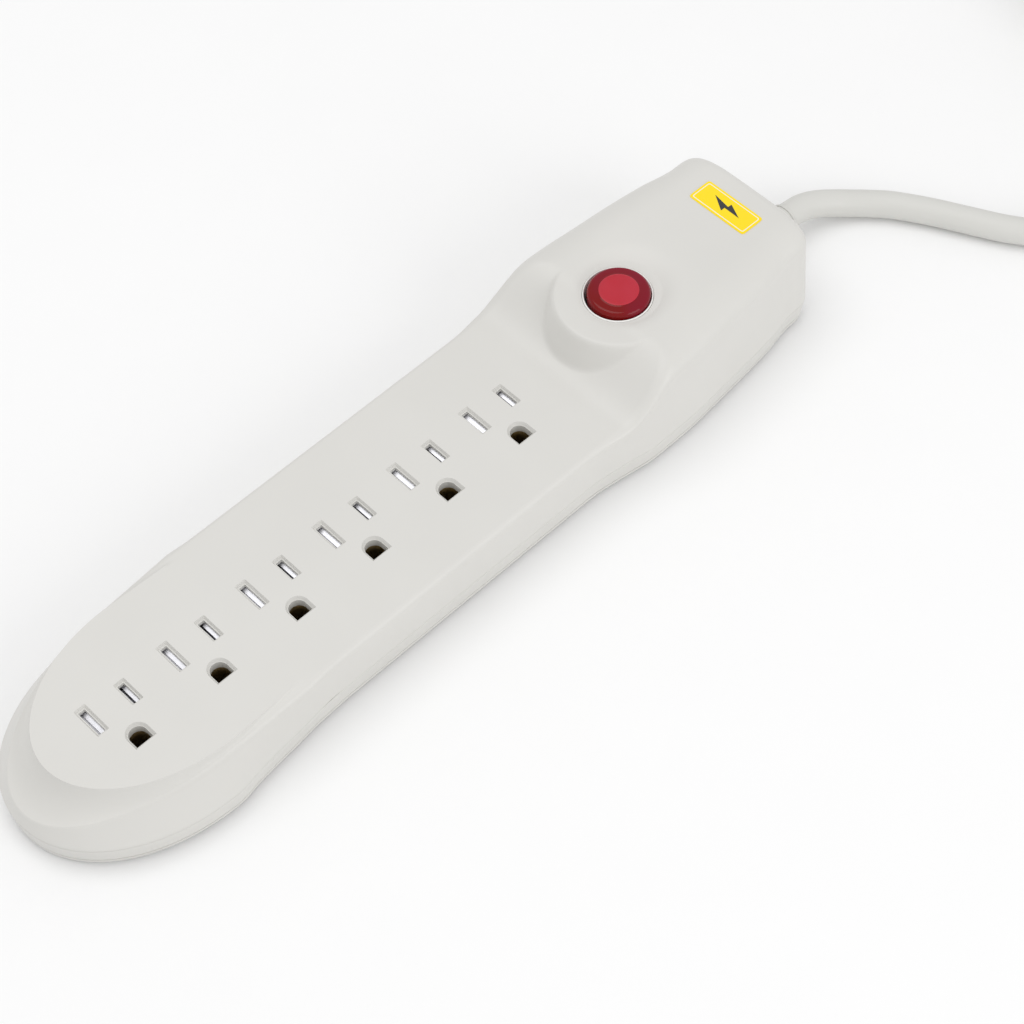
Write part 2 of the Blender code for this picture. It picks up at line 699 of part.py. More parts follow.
def tube(name, points, radius, look, resolution=2):
    curve = bpy.data.curves.new(name, "CURVE")
    curve.dimensions = "3D"
    curve.bevel_depth = radius * MM
    curve.bevel_resolution = resolution
    curve.use_fill_caps = True
    line = curve.splines.new("POLY")
    line.points.add(len(points) - 1)
    for spot, point in zip(line.points, to_metres(points)):
        spot.co = (*point, 1.0)
    return add_object(name, curve, look)


def along(points, spacing):
    """Evenly spaced points on the Catmull-Rom curve through a few chosen ones."""
    spots = [Vector(p) for p in points]
    spots = [2 * spots[0] - spots[1]] + spots + [2 * spots[-1] - spots[-2]]
    fine = []
    for a, b, c, d in zip(spots, spots[1:], spots[2:], spots[3:]):
        for k in range(20):
            t = k / 20
            fine.append(0.5 * (2 * b + (c - a) * t + (2 * a - 5 * b + 4 * c - d) * t * t
                               + (3 * b - a - 3 * c + d) * t ** 3))
    fine.append(spots[-2])
    length = sum((b - a).length for a, b in zip(fine, fine[1:]))
    count = max(round(length / spacing), 2)
    made, walked, target = [fine[0]], 0.0, length / count
    for a, b in zip(fine, fine[1:]):
        step = (b - a).length
        while walked + step >= target - 1e-6 and len(made) < count:
            made.append(a.lerp(b, (target - walked) / step))
            target += length / count
        walked += step
    return [tuple(p) for p in made + [fine[-1]]]


def make_wires(looks):
    back, front = BUTTON_X + SWITCH_HALF[0] + 6.6, BUTTON_X - SWITCH_HALF[0] - 6.6
    end_x = BAR_END_X + 1.7
    runs = {
        "line_wire": ([(123.4, 0.0, 11.3), (121.0, 0.0, 11.3), (116.0, -1.5, 12.6), (109.0, -3.8, 15.2),
                       (back, -4.5, TERMINAL_Z)], "wire_black"),
        "switched_wire": ([(front, 4.5, TERMINAL_Z), (57.5, 2.6, 15.4), (51.0, -1.0, 13.2),
                           (end_x, LIVE_BAR_Y, 12.0)], "wire_black"),
        "neutral_wire": ([(123.4, 2.1, 7.7), (121.0, 2.3, 7.7), (113.0, 7.5, 6.8), (102.0, 13.2, 6.2), (80.0, 14.2, 6.0),
                          (60.0, 13.4, 7.2), (end_x, NEUTRAL_BAR_Y, 10.5)], "wire_white"),
        "earth_wire": ([(123.4, -2.1, 7.7), (121.0, -2.3, 7.7), (113.0, -8.0, 6.8), (102.0, -13.4, 6.2), (80.0, -14.6, 6.0),
                        (60.0, -15.4, 7.2), (end_x, EARTH_BAR_Y, 10.5)], "wire_green"),
    }
    for name, (points, look) in runs.items():
        tube(name, along(points, 5.0), 1.3, looks[look], 1)


def ring_section(x, half_y, half_z, centre=(0.0, CORD_Z), count=16):
    turns = [2 * math.pi * k / count for k in range(count)]
    return [(x, centre[0] + half_y * math.cos(a), centre[1] + half_z * math.sin(a)) for a in turns]


def make_cord_entry(looks):
    stub = [ring_section(x, CORD_R, CORD_R) for x in (124.0, 139.5)]
    add_object("cord_jacket_end", lofted("cord_jacket_end", stub, capped=True), looks["cord"])
    sections = [
        (139.9, 7.6, 5.6), (142.1, 7.6, 5.6), (142.1, 5.2, 5.2), (145.4, 5.2, 5.2),
        (145.4, 6.7, 6.5), (147.2, 6.7, 6.5), (148.6, 6.1, 6.1), (EXIT_X, 5.1, 5.1),
    ]
    relief = lofted("strain_relief", [ring_section(*s) for s in sections], capped=True)
    add_object("strain_relief", relief, looks["cord"])
    low, high = (CLAMP_X - 3.0, -13.0, CLAMP_BOTTOM), (CLAMP_X + 3.0, 13.0, CLAMP_TOP)
    clamp = add_object("cord_clamp", box("cord_clamp", low, high), looks["black"])
    cuts = cutter_group("clamp_cuts")
    for side in (1, -1):
        profile = [(1.75, CLAMP_BOTTOM - 1), (1.75, CLAMP_TOP + 1)]
        add_cutter(cuts, turned("clamp_hole", profile, (CLAMP_X, side * CLAMP_SCREW_Y), 12))
    boolean(clamp, cuts, "DIFFERENCE")


def make_cord(looks):
    tube("cord_lead", LEAD_ROUTE[:1] + along(LEAD_ROUTE[1:], 10.0), CORD_R, looks["cord"])
    inner, outer, soft = COIL_R - COIL_HALF, COIL_R + COIL_HALF, 3.0
    ring = [
        (inner + soft, 0.0), (outer - soft, 0.0), (outer, soft), (outer, COIL_HEIGHT - soft),
        (outer - soft, COIL_HEIGHT), (inner + soft, COIL_HEIGHT), (inner, COIL_HEIGHT - soft), (inner, soft),
    ]
    add_object("cord_coil", turned("cord_coil", ring, COIL_CENTRE, 36, closed_ring=True), looks["cord"])
    tube("cord_tail", along(TAIL_ROUTE[:-1], 6.0) + TAIL_ROUTE[-1:], CORD_R, looks["cord"])


def plug_section(y, half_x, half_z, power):
    """A superellipse across the plug's axis, standing on the surface where it is tallest."""
    made = []
    for k in range(20):
        angle = 2 * math.pi * k / 20
        c, s = math.cos(angle), math.sin(angle)
        x = PLUG_X + half_x * math.copysign(abs(c) ** (2 / power), c)
        made.append((x, y, PLUG_Z + half_z * math.copysign(abs(s) ** (2 / power), s)))
    return made


def make_plug(looks):
    y0, y1 = PLUG_START_Y, PLUG_FACE_Y
    sections = [
        (y0, 5.2, 5.2, 2), (y0 + 12, 6.2, 6.2, 2), (y0 + 14, 8.5, 8.0, 2.4), (y0 + 20, 11.2, 10.6, 3),
        (y0 + 32, 11.6, 11.2, 3.4), (y0 + 42, 12.6, 12.0, 3.6), (y1 - 1, 13.0, 12.3, 4), (y1, 12.4, 11.8, 4),
    ]
    body = lofted("plug_body", [plug_section(*s) for s in sections], capped=True)
    add_object("plug_body", body, looks["cord"])
    start = y1 + 0.3
    for name, x in (("plug_blade_neutral", PLUG_X - BLADE_SPREAD), ("plug_blade_live", PLUG_X + BLADE_SPREAD)):
        high, tip = PLUG_BLADE_Z + 3.2, start + BLADE_LENGTH
        outline = [(start, PLUG_BLADE_Z - 3.2), (start, high), (tip - 1.5, high), (tip, high - 1.5),
                   (tip, PLUG_BLADE_Z - 1.7), (tip - 1.5, PLUG_BLADE_Z - 3.2)]
        loops = [[(x + dx, y, z) for y, z in outline] for dx in (-0.76, 0.76)]
        add_object(name, lofted(name, loops, capped=True), looks["plated"])
    tip = start + EARTH_PIN_LENGTH
    loops = [
        [(PLUG_X + r * math.cos(a), y, PLUG_EARTH_Z - 0.5 + r * math.sin(a))
         for a in (2 * math.pi * k / 12 for k in range(12))]
        for y, r in ((start, 2.38), (tip - 2.2, 2.38), (tip - 0.7, 1.6), (tip, 0.7))
    ]
    add_object("plug_earth_pin", lofted("plug_earth_pin", loops, capped=True), looks["plated"])


def make_label(look):
    """A plain plate on the head, bevelled at its corners and tilted with the surface."""
    hx, hy, cut = 4.5, 11.0, 0.8
    outline = [(-hx + cut, -hy), (hx - cut, -hy), (hx, -hy + cut), (hx, hy - cut),
               (hx - cut, hy), (-hx + cut, hy), (-hx, hy - cut), (-hx, -hy + cut)]
    label = add_object("label_plate", prism("label_plate", outline, 0.0, 0.3), look)
    label.location = to_metres([(129.1, 0.0, DECK_Z + head_spine(129.1) + 0.35)])[0]
    label.rotation_euler = (0.0, math.radians(1.2), 0.0)


def make_looks():
    return {
        "shell": material("shell", (0.72, 0.71, 0.67), 0.45),
        "rubber": material("rubber", (0.04, 0.04, 0.04), 0.9),
        "steel": material("steel", (0.55, 0.56, 0.58), 0.35, 1.0),
        "plated": material("plated", (0.80, 0.80, 0.78), 0.25, 1.0),
        "brass": material("brass", (0.72, 0.53, 0.25), 0.3, 1.0),
        "black": material("black", (0.03, 0.03, 0.03), 0.55),
        "bezel": material("bezel", (0.88, 0.88, 0.86), 0.35),
        "glass": material("glass", (0.9, 0.6, 0.4), 0.1, 0.0, 0.5),
        "cap": material("cap", (0.55, 0.02, 0.04), 0.12, 0.0, 0.8),
        "diffuser": material("diffuser", (0.70, 0.06, 0.08), 0.6),
        "wire_black": material("wire_black", (0.02, 0.02, 0.02), 0.5),
        "wire_white": material("wire_white", (0.85, 0.85, 0.83), 0.5),
        "wire_green": material("wire_green", (0.02, 0.30, 0.08), 0.5),
        "cord": material("cord", (0.76, 0.75, 0.73), 0.55),
        "yellow": material("yellow", (0.90, 0.72, 0.02), 0.4),
    }


def make_spring(look):
    tube("return_spring", spring_points(5.3, 26.7, 33.9, 6, 12), 0.35, look, 1)


def main():
    clear_scene()
    looks = make_looks()
    make_housing(looks["shell"])
    make_cover(looks["shell"])
    make_feet(looks["rubber"])
    make_screws(looks["steel"])
    make_contacts(looks["plated"], looks["brass"])
    make_switch(looks)
    make_button(looks)
    make_spring(looks["steel"])
    make_wires(looks)
    make_cord_entry(looks)
    make_cord(looks)
    make_plug(looks)
    make_label(looks["yellow"])


main()
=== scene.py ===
"""Looks of a six-outlet power strip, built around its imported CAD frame.

Lengths are in millimetres in the part's frame until to_metres() turns them into
Blender's units. A section of the strip is worked out at many more places than in the
CAD solid, from the same few driving dimensions.
"""

import math

import bmesh
import bpy
from mathutils import Matrix, Vector


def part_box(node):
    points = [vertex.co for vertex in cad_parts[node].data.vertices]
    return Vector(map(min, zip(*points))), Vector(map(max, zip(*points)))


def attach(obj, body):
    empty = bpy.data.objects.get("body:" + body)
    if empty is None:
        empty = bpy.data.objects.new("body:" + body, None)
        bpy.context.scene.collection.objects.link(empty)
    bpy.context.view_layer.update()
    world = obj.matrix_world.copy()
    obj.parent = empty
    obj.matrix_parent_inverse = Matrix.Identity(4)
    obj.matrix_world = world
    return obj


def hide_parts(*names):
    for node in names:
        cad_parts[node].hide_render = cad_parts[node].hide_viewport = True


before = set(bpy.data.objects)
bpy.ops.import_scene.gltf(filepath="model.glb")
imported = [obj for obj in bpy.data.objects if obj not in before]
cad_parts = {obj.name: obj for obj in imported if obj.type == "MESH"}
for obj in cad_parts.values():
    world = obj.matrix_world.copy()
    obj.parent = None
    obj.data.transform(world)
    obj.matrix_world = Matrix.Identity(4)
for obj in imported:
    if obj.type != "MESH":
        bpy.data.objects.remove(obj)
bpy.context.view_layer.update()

MM = 0.001
QUARTER = math.pi / 2

# Heights of the strip
DECK_Z = 24.0
SEAM_Z = 9.0
SEAM_GAP = 0.3
FLOOR_TOP = 2.9
BASE_Z = 0.8
WALL = 2.2

# Outline of the strip at the seam between its two shells
NEAR_END_X = -144.8
REAR_END_X = 145.0
NEAR_CENTRE_X = -96.7
NEAR_EXPONENT = 2.05
FLARE_END_X = -66.0
REAR_START_X = 132.0
REAR_EXPONENT = 3.0
HALF_WIDTH = [
    (-96.7, 34.3), (-88.0, 33.0), (-72.5, 31.4), (-58.0, 30.05), (42.0, 30.05), (54.0, 31.4),
    (66.4, 33.1), (77.3, 33.1), (98.3, 31.7), (119.1, 29.6), (132.0, 27.5),
]

# Rounded edge of the deck, and the scooped ledge around its near end
EDGE_CENTRE_X = -90.5
DECK_EDGE = (42.2, 28.1)
LEDGE_CREST = (52.4, 28.9)
CREST_DROP_SIDE = 2.05
CREST_DROP_END = 8.45
CREST_POWER = 1.6
CREST_ROLL = (0.3, 0.3)
SIDE_ROLL = (1.0, 1.7)
EDGE_BAND = 1.2

# Raised head: flat half-width, roll-off and height above the deck
FLAT_HALF = [
    (42.0, 28.4), (56.0, 28.2), (66.0, 28.0), (71.0, 26.6), (74.5, 24.8), (77.0, 21.8), (79.0, 19.4),
    (83.0, 18.4), (96.5, 17.2), (111.5, 16.3), (132.0, 14.7),
]
ROLL_INSET = [(42.0, 0.0), (56.0, 0.3), (66.0, 1.4), (81.5, 2.4), (100.0, 2.6), (132.0, 2.6)]
ROLL_FOOT = [
    (42.0, -1.7), (56.0, -1.2), (62.9, 1.2), (66.0, 3.0), (72.5, 6.5), (81.5, 7.5), (132.0, 7.5),
]
HEAD_SPINE = [(42.0, 11.8), (82.5, 12.4), (106.5, 13.7), (132.0, 12.9)]
SHOULDER_START_X = 54.5
SHOULDER_END_X = 78.5
REAR_ROLL_START_X = 138.8
REAR_ROLL_END_X = 142.5
REAR_ROLL_FOOT = 8.6
REAR_TOP = 12.7
REAR_ROLL_EXPONENT = 4.4

# Button, the round lobe that carries it, and the shallow dish around it
BUTTON_X = 82.7
LOBE_RIM_R = 19.4
LOBE_FOOT_R = 24.0
LOBE_HEIGHT = 11.8
LOBE_BLEND_R = 27.0
BUTTON_HOLE_R = 10.62
DISH_R = 12.0
DISH_CENTRE_X = 84.2
CAP_R = 9.45
CAP_PLACE = (82.9, -0.2)
CAP_TOP_Z = 38.2
FROST_R = 6.0
CAP_BOTTOM_Z = 29.6

# Outlets: two blade slots and a D-shaped earth hole each
OUTLETS = 6
FIRST_OUTLET_X = -108.5
PITCH = 28.35
BLADE_Y = 3.0
BLADE_SPREAD = 6.35
EARTH_Y = -8.9
NEUTRAL_SLOT = (1.1, 4.5)
LIVE_SLOT = (1.1, 3.6)
NEUTRAL_FUNNEL = (2.0, 5.4)
LIVE_FUNNEL = (1.9, 4.45)
EARTH_HALF = 2.75
EARTH_FLAT = 2.9
EARTH_FUNNEL_GROW = 0.85
FUNNEL_DEPTH = 1.0

# Contact bars under the outlets
BAR_START_X = -120.0
BAR_END_X = 44.0
BAR_TOP = 17.0
CONTACT_BOTTOM = 7.0
NEUTRAL_BAR_Y = 10.4
LIVE_BAR_Y = -3.0
EARTH_BAR_Y = -14.8
COLLAR_Z = 20.3
COLLAR_WALL = 0.9
LIP_Z = 20.7
LIP_SLOPE = 0.34
LEAF = 0.4
LEAF_FOOT = 1.1
NEUTRAL_LEAF = (0.06, 2.4)
LIVE_LEAF = (0.3, 2.3)

# Fasteners and feet
SCREW_PLACES = [(-94.0, 22.0), (14.0, 22.3), (106.0, 20.0)]
SCREW_HEAD_R = 2.8
COUNTERBORE_R = 3.2
COUNTERBORE_TOP = 4.5
FOOT_PLACES = [(-112.0, 17.0), (122.0, 13.0)]
FOOT_R = 6.0
FOOT_TOP = 1.5

# Mains lead
CORD_R = 4.4
CORD_Z = 9.0
EXIT_X = 159.0
COIL_CENTRE = (345.0, -24.0)
COIL_R = 47.9
COIL_JOIN = 266.0
COIL_END = 272.0
CORD_START = [(155.0, 0.0, 9.0), (157.5, 0.0, 9.0)]
LEAD_ROUTE = [
    (159.7, 0.0, 9.0), (161.0, -0.1, 8.9), (165.0, -0.4, 8.6), (168.8, -1.3, 7.9), (172.4, -2.7, 6.9),
    (175.8, -4.6, 5.9), (179.0, -6.8, 5.1), (184.9, -12.2, 4.5), (190.0, -18.3, 4.5), (196.3, -28.6, 4.5),
    (201.8, -39.2, 4.5), (208.0, -50.8, 4.5), (215.2, -60.2, 4.5), (224.6, -67.6, 4.5), (236.5, -72.7, 4.5),
    (252.0, -75.2, 4.5), (271.0, -75.7, 4.5), (290.0, -75.7, 4.5), (308.0, -75.7, 4.5),
]
OFF_THE_COIL = [(357.0, -76.2, 22.0), (368.0, -76.1, 21.0)]
TAIL_ROUTE = [
    (380.0, -76.0, 18.6), (393.0, -73.0, 15.7), (404.6, -65.4, 13.6), (412.8, -54.0, 12.6),
    (416.2, -43.5, 12.4), (416.6, -38.6, 12.4),
]
PLUG_X = 416.6
PLUG_START_Y = -38.0
PLUG_FACE_Y = 11.0
PLUG_Z = 12.4

# Camera, as solved from the outlets
CAMERA_AZIMUTH = -42.765
CAMERA_ELEVATION = 55.075
CAMERA_ROLL = -1.80
CAMERA_TARGET = (11.94, -27.83, 24.0)
CAMERA_DISTANCE = 692.857
CAMERA_LENS = 86.47


# ---------------------------------------------------------------- mesh helpers


def to_metres(points):
    return [tuple(c * MM for c in p) for p in points]


def mesh_from(name, points, faces, sharp=35.0):
    """A mesh in metres whose doubled points are joined and whose faces all point out."""
    bm = bmesh.new()
    corners = [bm.verts.new(p) for p in to_metres(points)]
    for face in faces:
        bm.faces.new([corners[k] for k in face])
    bmesh.ops.remove_doubles(bm, verts=bm.verts, dist=0.000001)
    bmesh.ops.dissolve_degenerate(bm, edges=bm.edges, dist=0.000001)
    bmesh.ops.recalc_face_normals(bm, faces=bm.faces)
    mesh = bpy.data.meshes.new(name)
    bm.to_mesh(mesh)
    bm.free()
    shade(mesh, sharp)
    return mesh


def shade(mesh, sharp):
    mesh.shade_smooth()
    mesh.set_sharp_from_angle(angle=math.radians(sharp))


def skin(loops, skipped=None):
    """Points and faces that skin a row of closed loops; skipped(row, k) leaves a face out."""
    count = len(loops[0])
    points = [p for loop in loops for p in loop]
    faces = []
    for row in range(len(loops) - 1):
        for k in range(count):
            if skipped and skipped(row, k):
                continue
            after = (k + 1) % count
            a, b = row * count, (row + 1) * count
            faces.append((a + k, a + after, b + after, b + k))
    return points, faces


def lofted(name, loops, capped=True, sharp=35.0):
    points, faces = skin(loops)
    if capped:
        count = len(loops[0])
        faces.append(tuple(range(count)))
        faces.append(tuple(range(len(points) - count, len(points))))
    return mesh_from(name, points, faces, sharp)


def circle(radius, z, centre=(0.0, 0.0), count=64):
    turns = [2 * math.pi * k / count for k in range(count)]
    return [(centre[0] + radius * math.cos(a), centre[1] + radius * math.sin(a), z) for a in turns]


def turned(name, profile, centre=(0.0, 0.0), count=64, closed_ring=False, sharp=35.0):
    """Turn (radius, z) points about a vertical axis: capped, or a ring if the profile closes."""
    loops = [circle(r, z, centre, count) for r, z in profile]
    if closed_ring:
        loops.append(loops[0])
    return lofted(name, loops, not closed_ring, sharp)


def prism(name, outline, low, high):
    return lofted(name, [[(x, y, z) for x, y in outline] for z in (low, high)])


def add_piece(name, mesh, look, body="strip", replaced=()):
    made = bpy.data.objects.new(name, mesh)
    bpy.context.scene.collection.objects.link(made)
    if isinstance(mesh, bpy.types.Mesh) and look:
        mesh.materials.append(look)
    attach(made, body)
    if replaced:
        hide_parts(*replaced)
    return made


def cut(piece, tools, operation="DIFFERENCE"):
    """Cut the piece by several closed meshes at once, and keep only the result."""
    group = bpy.data.collections.new("tools")
    objects = []
    for tool in tools:
        made = bpy.data.objects.new("tool", tool)
        group.objects.link(made)
        objects.append(made)
    bpy.context.scene.collection.children.link(group)
    modifier = piece.modifiers.new("cut", "BOOLEAN")
    modifier.operation = operation
    modifier.operand_type = "COLLECTION"
    modifier.collection = group
    modifier.solver = "EXACT"
    result = evaluated_mesh(piece)
    piece.modifiers.clear()
    piece.data = result
    for made in objects:
        bpy.data.objects.remove(made, do_unlink=True)
    bpy.data.collections.remove(group)


def evaluated_mesh(piece):
    bpy.context.view_layer.update()
    seen = piece.evaluated_get(bpy.context.evaluated_depsgraph_get())
    return bpy.data.meshes.new_from_object(seen)


# ------------------------------------------------------------- curves and rails


def smooth_curve(points):
    """A cubic through points that keeps their rises and falls and never overshoots."""
    xs, ys = zip(*points)
    steps = [(ys[k + 1] - ys[k]) / (xs[k + 1] - xs[k]) for k in range(len(xs) - 1)]
    slopes = [0.0]
    for before, after in zip(steps, steps[1:]):
        slopes.append(2 * before * after / (before + after) if before * after > 0 else 0.0)
    slopes.append(0.0)

    def value(x):
        x = min(max(x, xs[0]), xs[-1])
        k = max(j for j in range(len(xs) - 1) if xs[j] <= x)
        width = xs[k + 1] - xs[k]
        t = (x - xs[k]) / width
        return (
            ys[k] * (1 + 2 * t) * (1 - t) ** 2 + slopes[k] * width * t * (1 - t) ** 2
            + ys[k + 1] * t * t * (3 - 2 * t) + slopes[k + 1] * width * t * t * (t - 1)
        )

    return value


half_width = smooth_curve(HALF_WIDTH)
flat_half = smooth_curve(FLAT_HALF)
roll_inset = smooth_curve(ROLL_INSET)
roll_foot = smooth_curve(ROLL_FOOT)
head_spine = smooth_curve(HEAD_SPINE)


def ease(t):
    t = min(max(t, 0.0), 1.0)
    return t * t * (3 - 2 * t)


def mix(a, b, t):
    return tuple(p + (q - p) * t for p, q in zip(a, b))


def larger(a, b, blend):
    """The larger of two heights, with the valley between them filled over blend."""
    share = max(blend - abs(a - b), 0.0) / blend
    return max(a, b) + share * share * blend / 4


def bend(a, corner, b, t, weight):
    wa, wc, wb = (1 - t) ** 2, 2 * t * (1 - t) * weight, t * t
    total = wa + wc + wb
    return tuple((wa * p + wc * q + wb * r) / total for p, q, r in zip(a, corner, b))


def conic(a, corner, b, steps, weight=0.7071, start=0.0):
    """Points after start of a curve from a to b, pulled towards corner."""
    return [bend(a, corner, b, start + (1 - start) * k / steps, weight) for k in range(1, steps + 1)]


def oval(centre_x, reach, half, exponent, angle):
    x = centre_x - reach * max(math.cos(angle), 0.0) ** (2 / exponent)
    return x, half * math.sin(angle) ** (2 / exponent)


def rear_corner(half, end_x, exponent, angle):
    x = REAR_START_X + (end_x - REAR_START_X) * math.sin(angle) ** (2 / exponent)
    return x, half * max(math.cos(angle), 0.0) ** (2 / exponent)


# --------------------------------------------------------------- the top shell
# A station is one cross-section of the strip: ("near", angle) fans round the near end,
# ("flare", share) and ("body", x) run along it, and ("rear", angle) fans round the rear.


def evenly(low, high, step):
    count = round((high - low) / step)
    return [low + (high - low) * k / count for k in range(1, count + 1)]


def stations(near, flare, straight, rear):
    row = [("near", QUARTER * k / near) for k in range(near + 1)]
    row += [("flare", k / flare) for k in range(1, flare + 1)]
    row += [("body", x) for x in straight]
    return row + [("rear", QUARTER * k / rear) for k in range(rear + 1)]


def seam_point(station, inset):
    kind, t = station
    if kind == "near":
        reach = NEAR_CENTRE_X - NEAR_END_X - inset
        return oval(NEAR_CENTRE_X, reach, half_width(NEAR_CENTRE_X) - inset, NEAR_EXPONENT, t)
    if kind == "rear":
        half = half_width(REAR_START_X) - inset
        return rear_corner(half, REAR_END_X - inset, REAR_EXPONENT, t)
    x = t if kind == "body" else NEAR_CENTRE_X + (FLARE_END_X - NEAR_CENTRE_X) * t
    return x, half_width(x) - inset


def lobe_height(radius):
    """The cone that carries the button, rounded where it meets its flat top."""
    cone = LOBE_HEIGHT * (LOBE_FOOT_R - radius) / (LOBE_FOOT_R - LOBE_RIM_R)
    return -larger(-cone, -LOBE_HEIGHT, LOBE_ROUND)


LOBE_ROUND = 1.9
LOBE_VALLEY = 1.0
DISH_RISE = 0.35
DISH_ROUND = 0.8


def top_height(x, y, inset=0.0):
    share = (x - inset - SHOULDER_START_X) / (SHOULDER_END_X - SHOULDER_START_X)
    shoulder = head_spine(x) * ease(share)
    if inset:
        radius = math.hypot(x - BUTTON_X, y) + 2 * inset
        return max(shoulder, min(lobe_height(radius), LOBE_HEIGHT)) - inset
    lobe = lobe_height(math.hypot(x - BUTTON_X, y))
    surface = larger(shoulder, lobe, LOBE_VALLEY) if lobe > -LOBE_VALLEY else shoulder
    dish = LOBE_HEIGHT + DISH_RISE * max(math.hypot(x - DISH_CENTRE_X, y) - DISH_R, 0.0)
    return -larger(-surface, -dish, DISH_ROUND)


def near_profile(angle, inset):
    """Deck edge, ledge crest and end of the crest's roll on one ray of the near end."""
    edge = oval(EDGE_CENTRE_X, DECK_EDGE[0] - inset, DECK_EDGE[1] - inset, 2, angle)
    crest = oval(EDGE_CENTRE_X, LEDGE_CREST[0] - inset, LEDGE_CREST[1] - inset, 2, angle)
    roll_out, roll_down = mix(CREST_ROLL, SIDE_ROLL, math.sin(angle) ** 6)
    reach = (LEDGE_CREST[0] - inset + roll_out, LEDGE_CREST[1] - inset + roll_out)
    roll = oval(EDGE_CENTRE_X, *reach, 2, angle)
    drop = CREST_DROP_SIDE + CREST_DROP_END * max(math.cos(angle), 0.0) ** CREST_POWER
    return (
        (*edge, -inset), (*crest, -drop - inset), (*roll, -drop - roll_down - inset),
    )


def body_profile(x, inset):
    """The same three points where the strip runs straight."""
    flat = flat_half(x) - inset
    band = flat - EDGE_BAND
    roll = half_width(x) - roll_inset(x) - inset
    crest = (x, flat, top_height(x, flat, inset))
    return (x, band, top_height(x, band, inset)), crest, (x, roll, roll_foot(x) - inset)


def rails(station, inset):
    """Centre, deck edge, crest, corner that shapes the roll, and the roll's foot."""
    kind, t = station
    if kind == "near":
        edge, crest, foot = near_profile(t, inset)
        return (EDGE_CENTRE_X, 0.0, -inset), edge, crest, mix(crest, foot, 0.8)[:2] + (crest[2] - 0.3,), foot
    if kind == "flare":
        side, straight = near_profile(QUARTER, inset), body_profile(FLARE_END_X, inset)
        edge, crest, foot = (mix(a, b, t) for a, b in zip(side, straight))
        return (edge[0], 0.0, -inset), edge, crest, foot[:2] + (crest[2] - 0.3 * (1 - t),), foot
    if kind == "body":
        edge, crest, foot = body_profile(t, inset)
        return (t, 0.0, top_height(t, 0.0, inset)), edge, crest, foot[:2] + (crest[2],), foot
    ends = (
        (REAR_ROLL_START_X - 1, REAR_TOP), (REAR_ROLL_START_X, REAR_TOP),
        (REAR_ROLL_END_X, REAR_ROLL_FOOT),
    )
    share = math.sin(t) ** 2
    edge, crest, foot = (
        (*rear_corner(p[1], end_x - inset, REAR_ROLL_EXPONENT, t), p[2] + (end_z - inset - p[2]) * share)
        for p, (end_x, end_z) in zip(body_profile(REAR_START_X, inset), ends)
    )
    return (REAR_START_X, 0.0, head_spine(REAR_START_X) - inset), edge, crest, foot[:2] + (crest[2],), foot


def half_section(station, inset, across, scoop, roll, wall):
    """One half of the top shell's section, from its centre line out to the seam."""
    centre, edge, crest, corner, foot = rails(station, inset)
    made = [centre]
    for k in range(1, across + 1):
        x, y, z = mix(centre, edge, k / across)
        if station[0] == "body":
            z = top_height(x, y, inset)
        made.append((x, y, z))
    under_edge = mix(edge, crest, 0.22)[:2] + (edge[2] + 0.78 * (crest[2] - edge[2]),)
    made += conic(edge, under_edge, crest, scoop, weight=1.0)
    made += conic(crest, corner, foot, roll)
    chamfer = min(inset, 0.0) + 0.2
    end = (*seam_point(station, inset), SEAM_Z - DECK_Z + (0.2 if not inset else 0.0))
    made += [mix(foot, end, k / wall) for k in range(1, wall + 1)]
    if not inset:
        made.append((*seam_point(station, chamfer), SEAM_Z - DECK_Z))
    return [(x, y, z + DECK_Z) for x, y, z in made]


def whole_loop(half):
    """Mirror a half section about the centre line into one closed loop."""
    return half + [(x, -y, z) for x, y, z in reversed(half)]


ACROSS = 26
PATCH_START_X = 46.0
PATCH_END_X = 108.0
PATCH_INNER_R = 10.2
PATCH_CORE_RINGS = 38
PATCH_OUTER_RINGS = 14


def lobe_patch(border):
    """Rings from the button's hole out to the border, round near the lobe and shaped like the border further out."""
    rings = []
    spokes = [(Vector((x - BUTTON_X, y)), z) for x, y, z in border]
    for number in range(PATCH_CORE_RINGS + PATCH_OUTER_RINGS):
        ring = []
        for spoke, _ in spokes:
            reach = spoke.length
            core = min(LOBE_BLEND_R, reach - 1.5)
            if number <= PATCH_CORE_RINGS:
                radius = PATCH_INNER_R + (core - PATCH_INNER_R) * number / PATCH_CORE_RINGS
            else:
                radius = core + (reach - core) * (number - PATCH_CORE_RINGS) / PATCH_OUTER_RINGS
            x, y = spoke * (radius / reach)
            ring.append((BUTTON_X + x, y, DECK_Z + top_height(BUTTON_X + x, y)))
        rings.append(ring)
    rings.append(border)
    points, faces = skin(rings)
    faces.append(tuple(range(len(border))))
    return points, faces


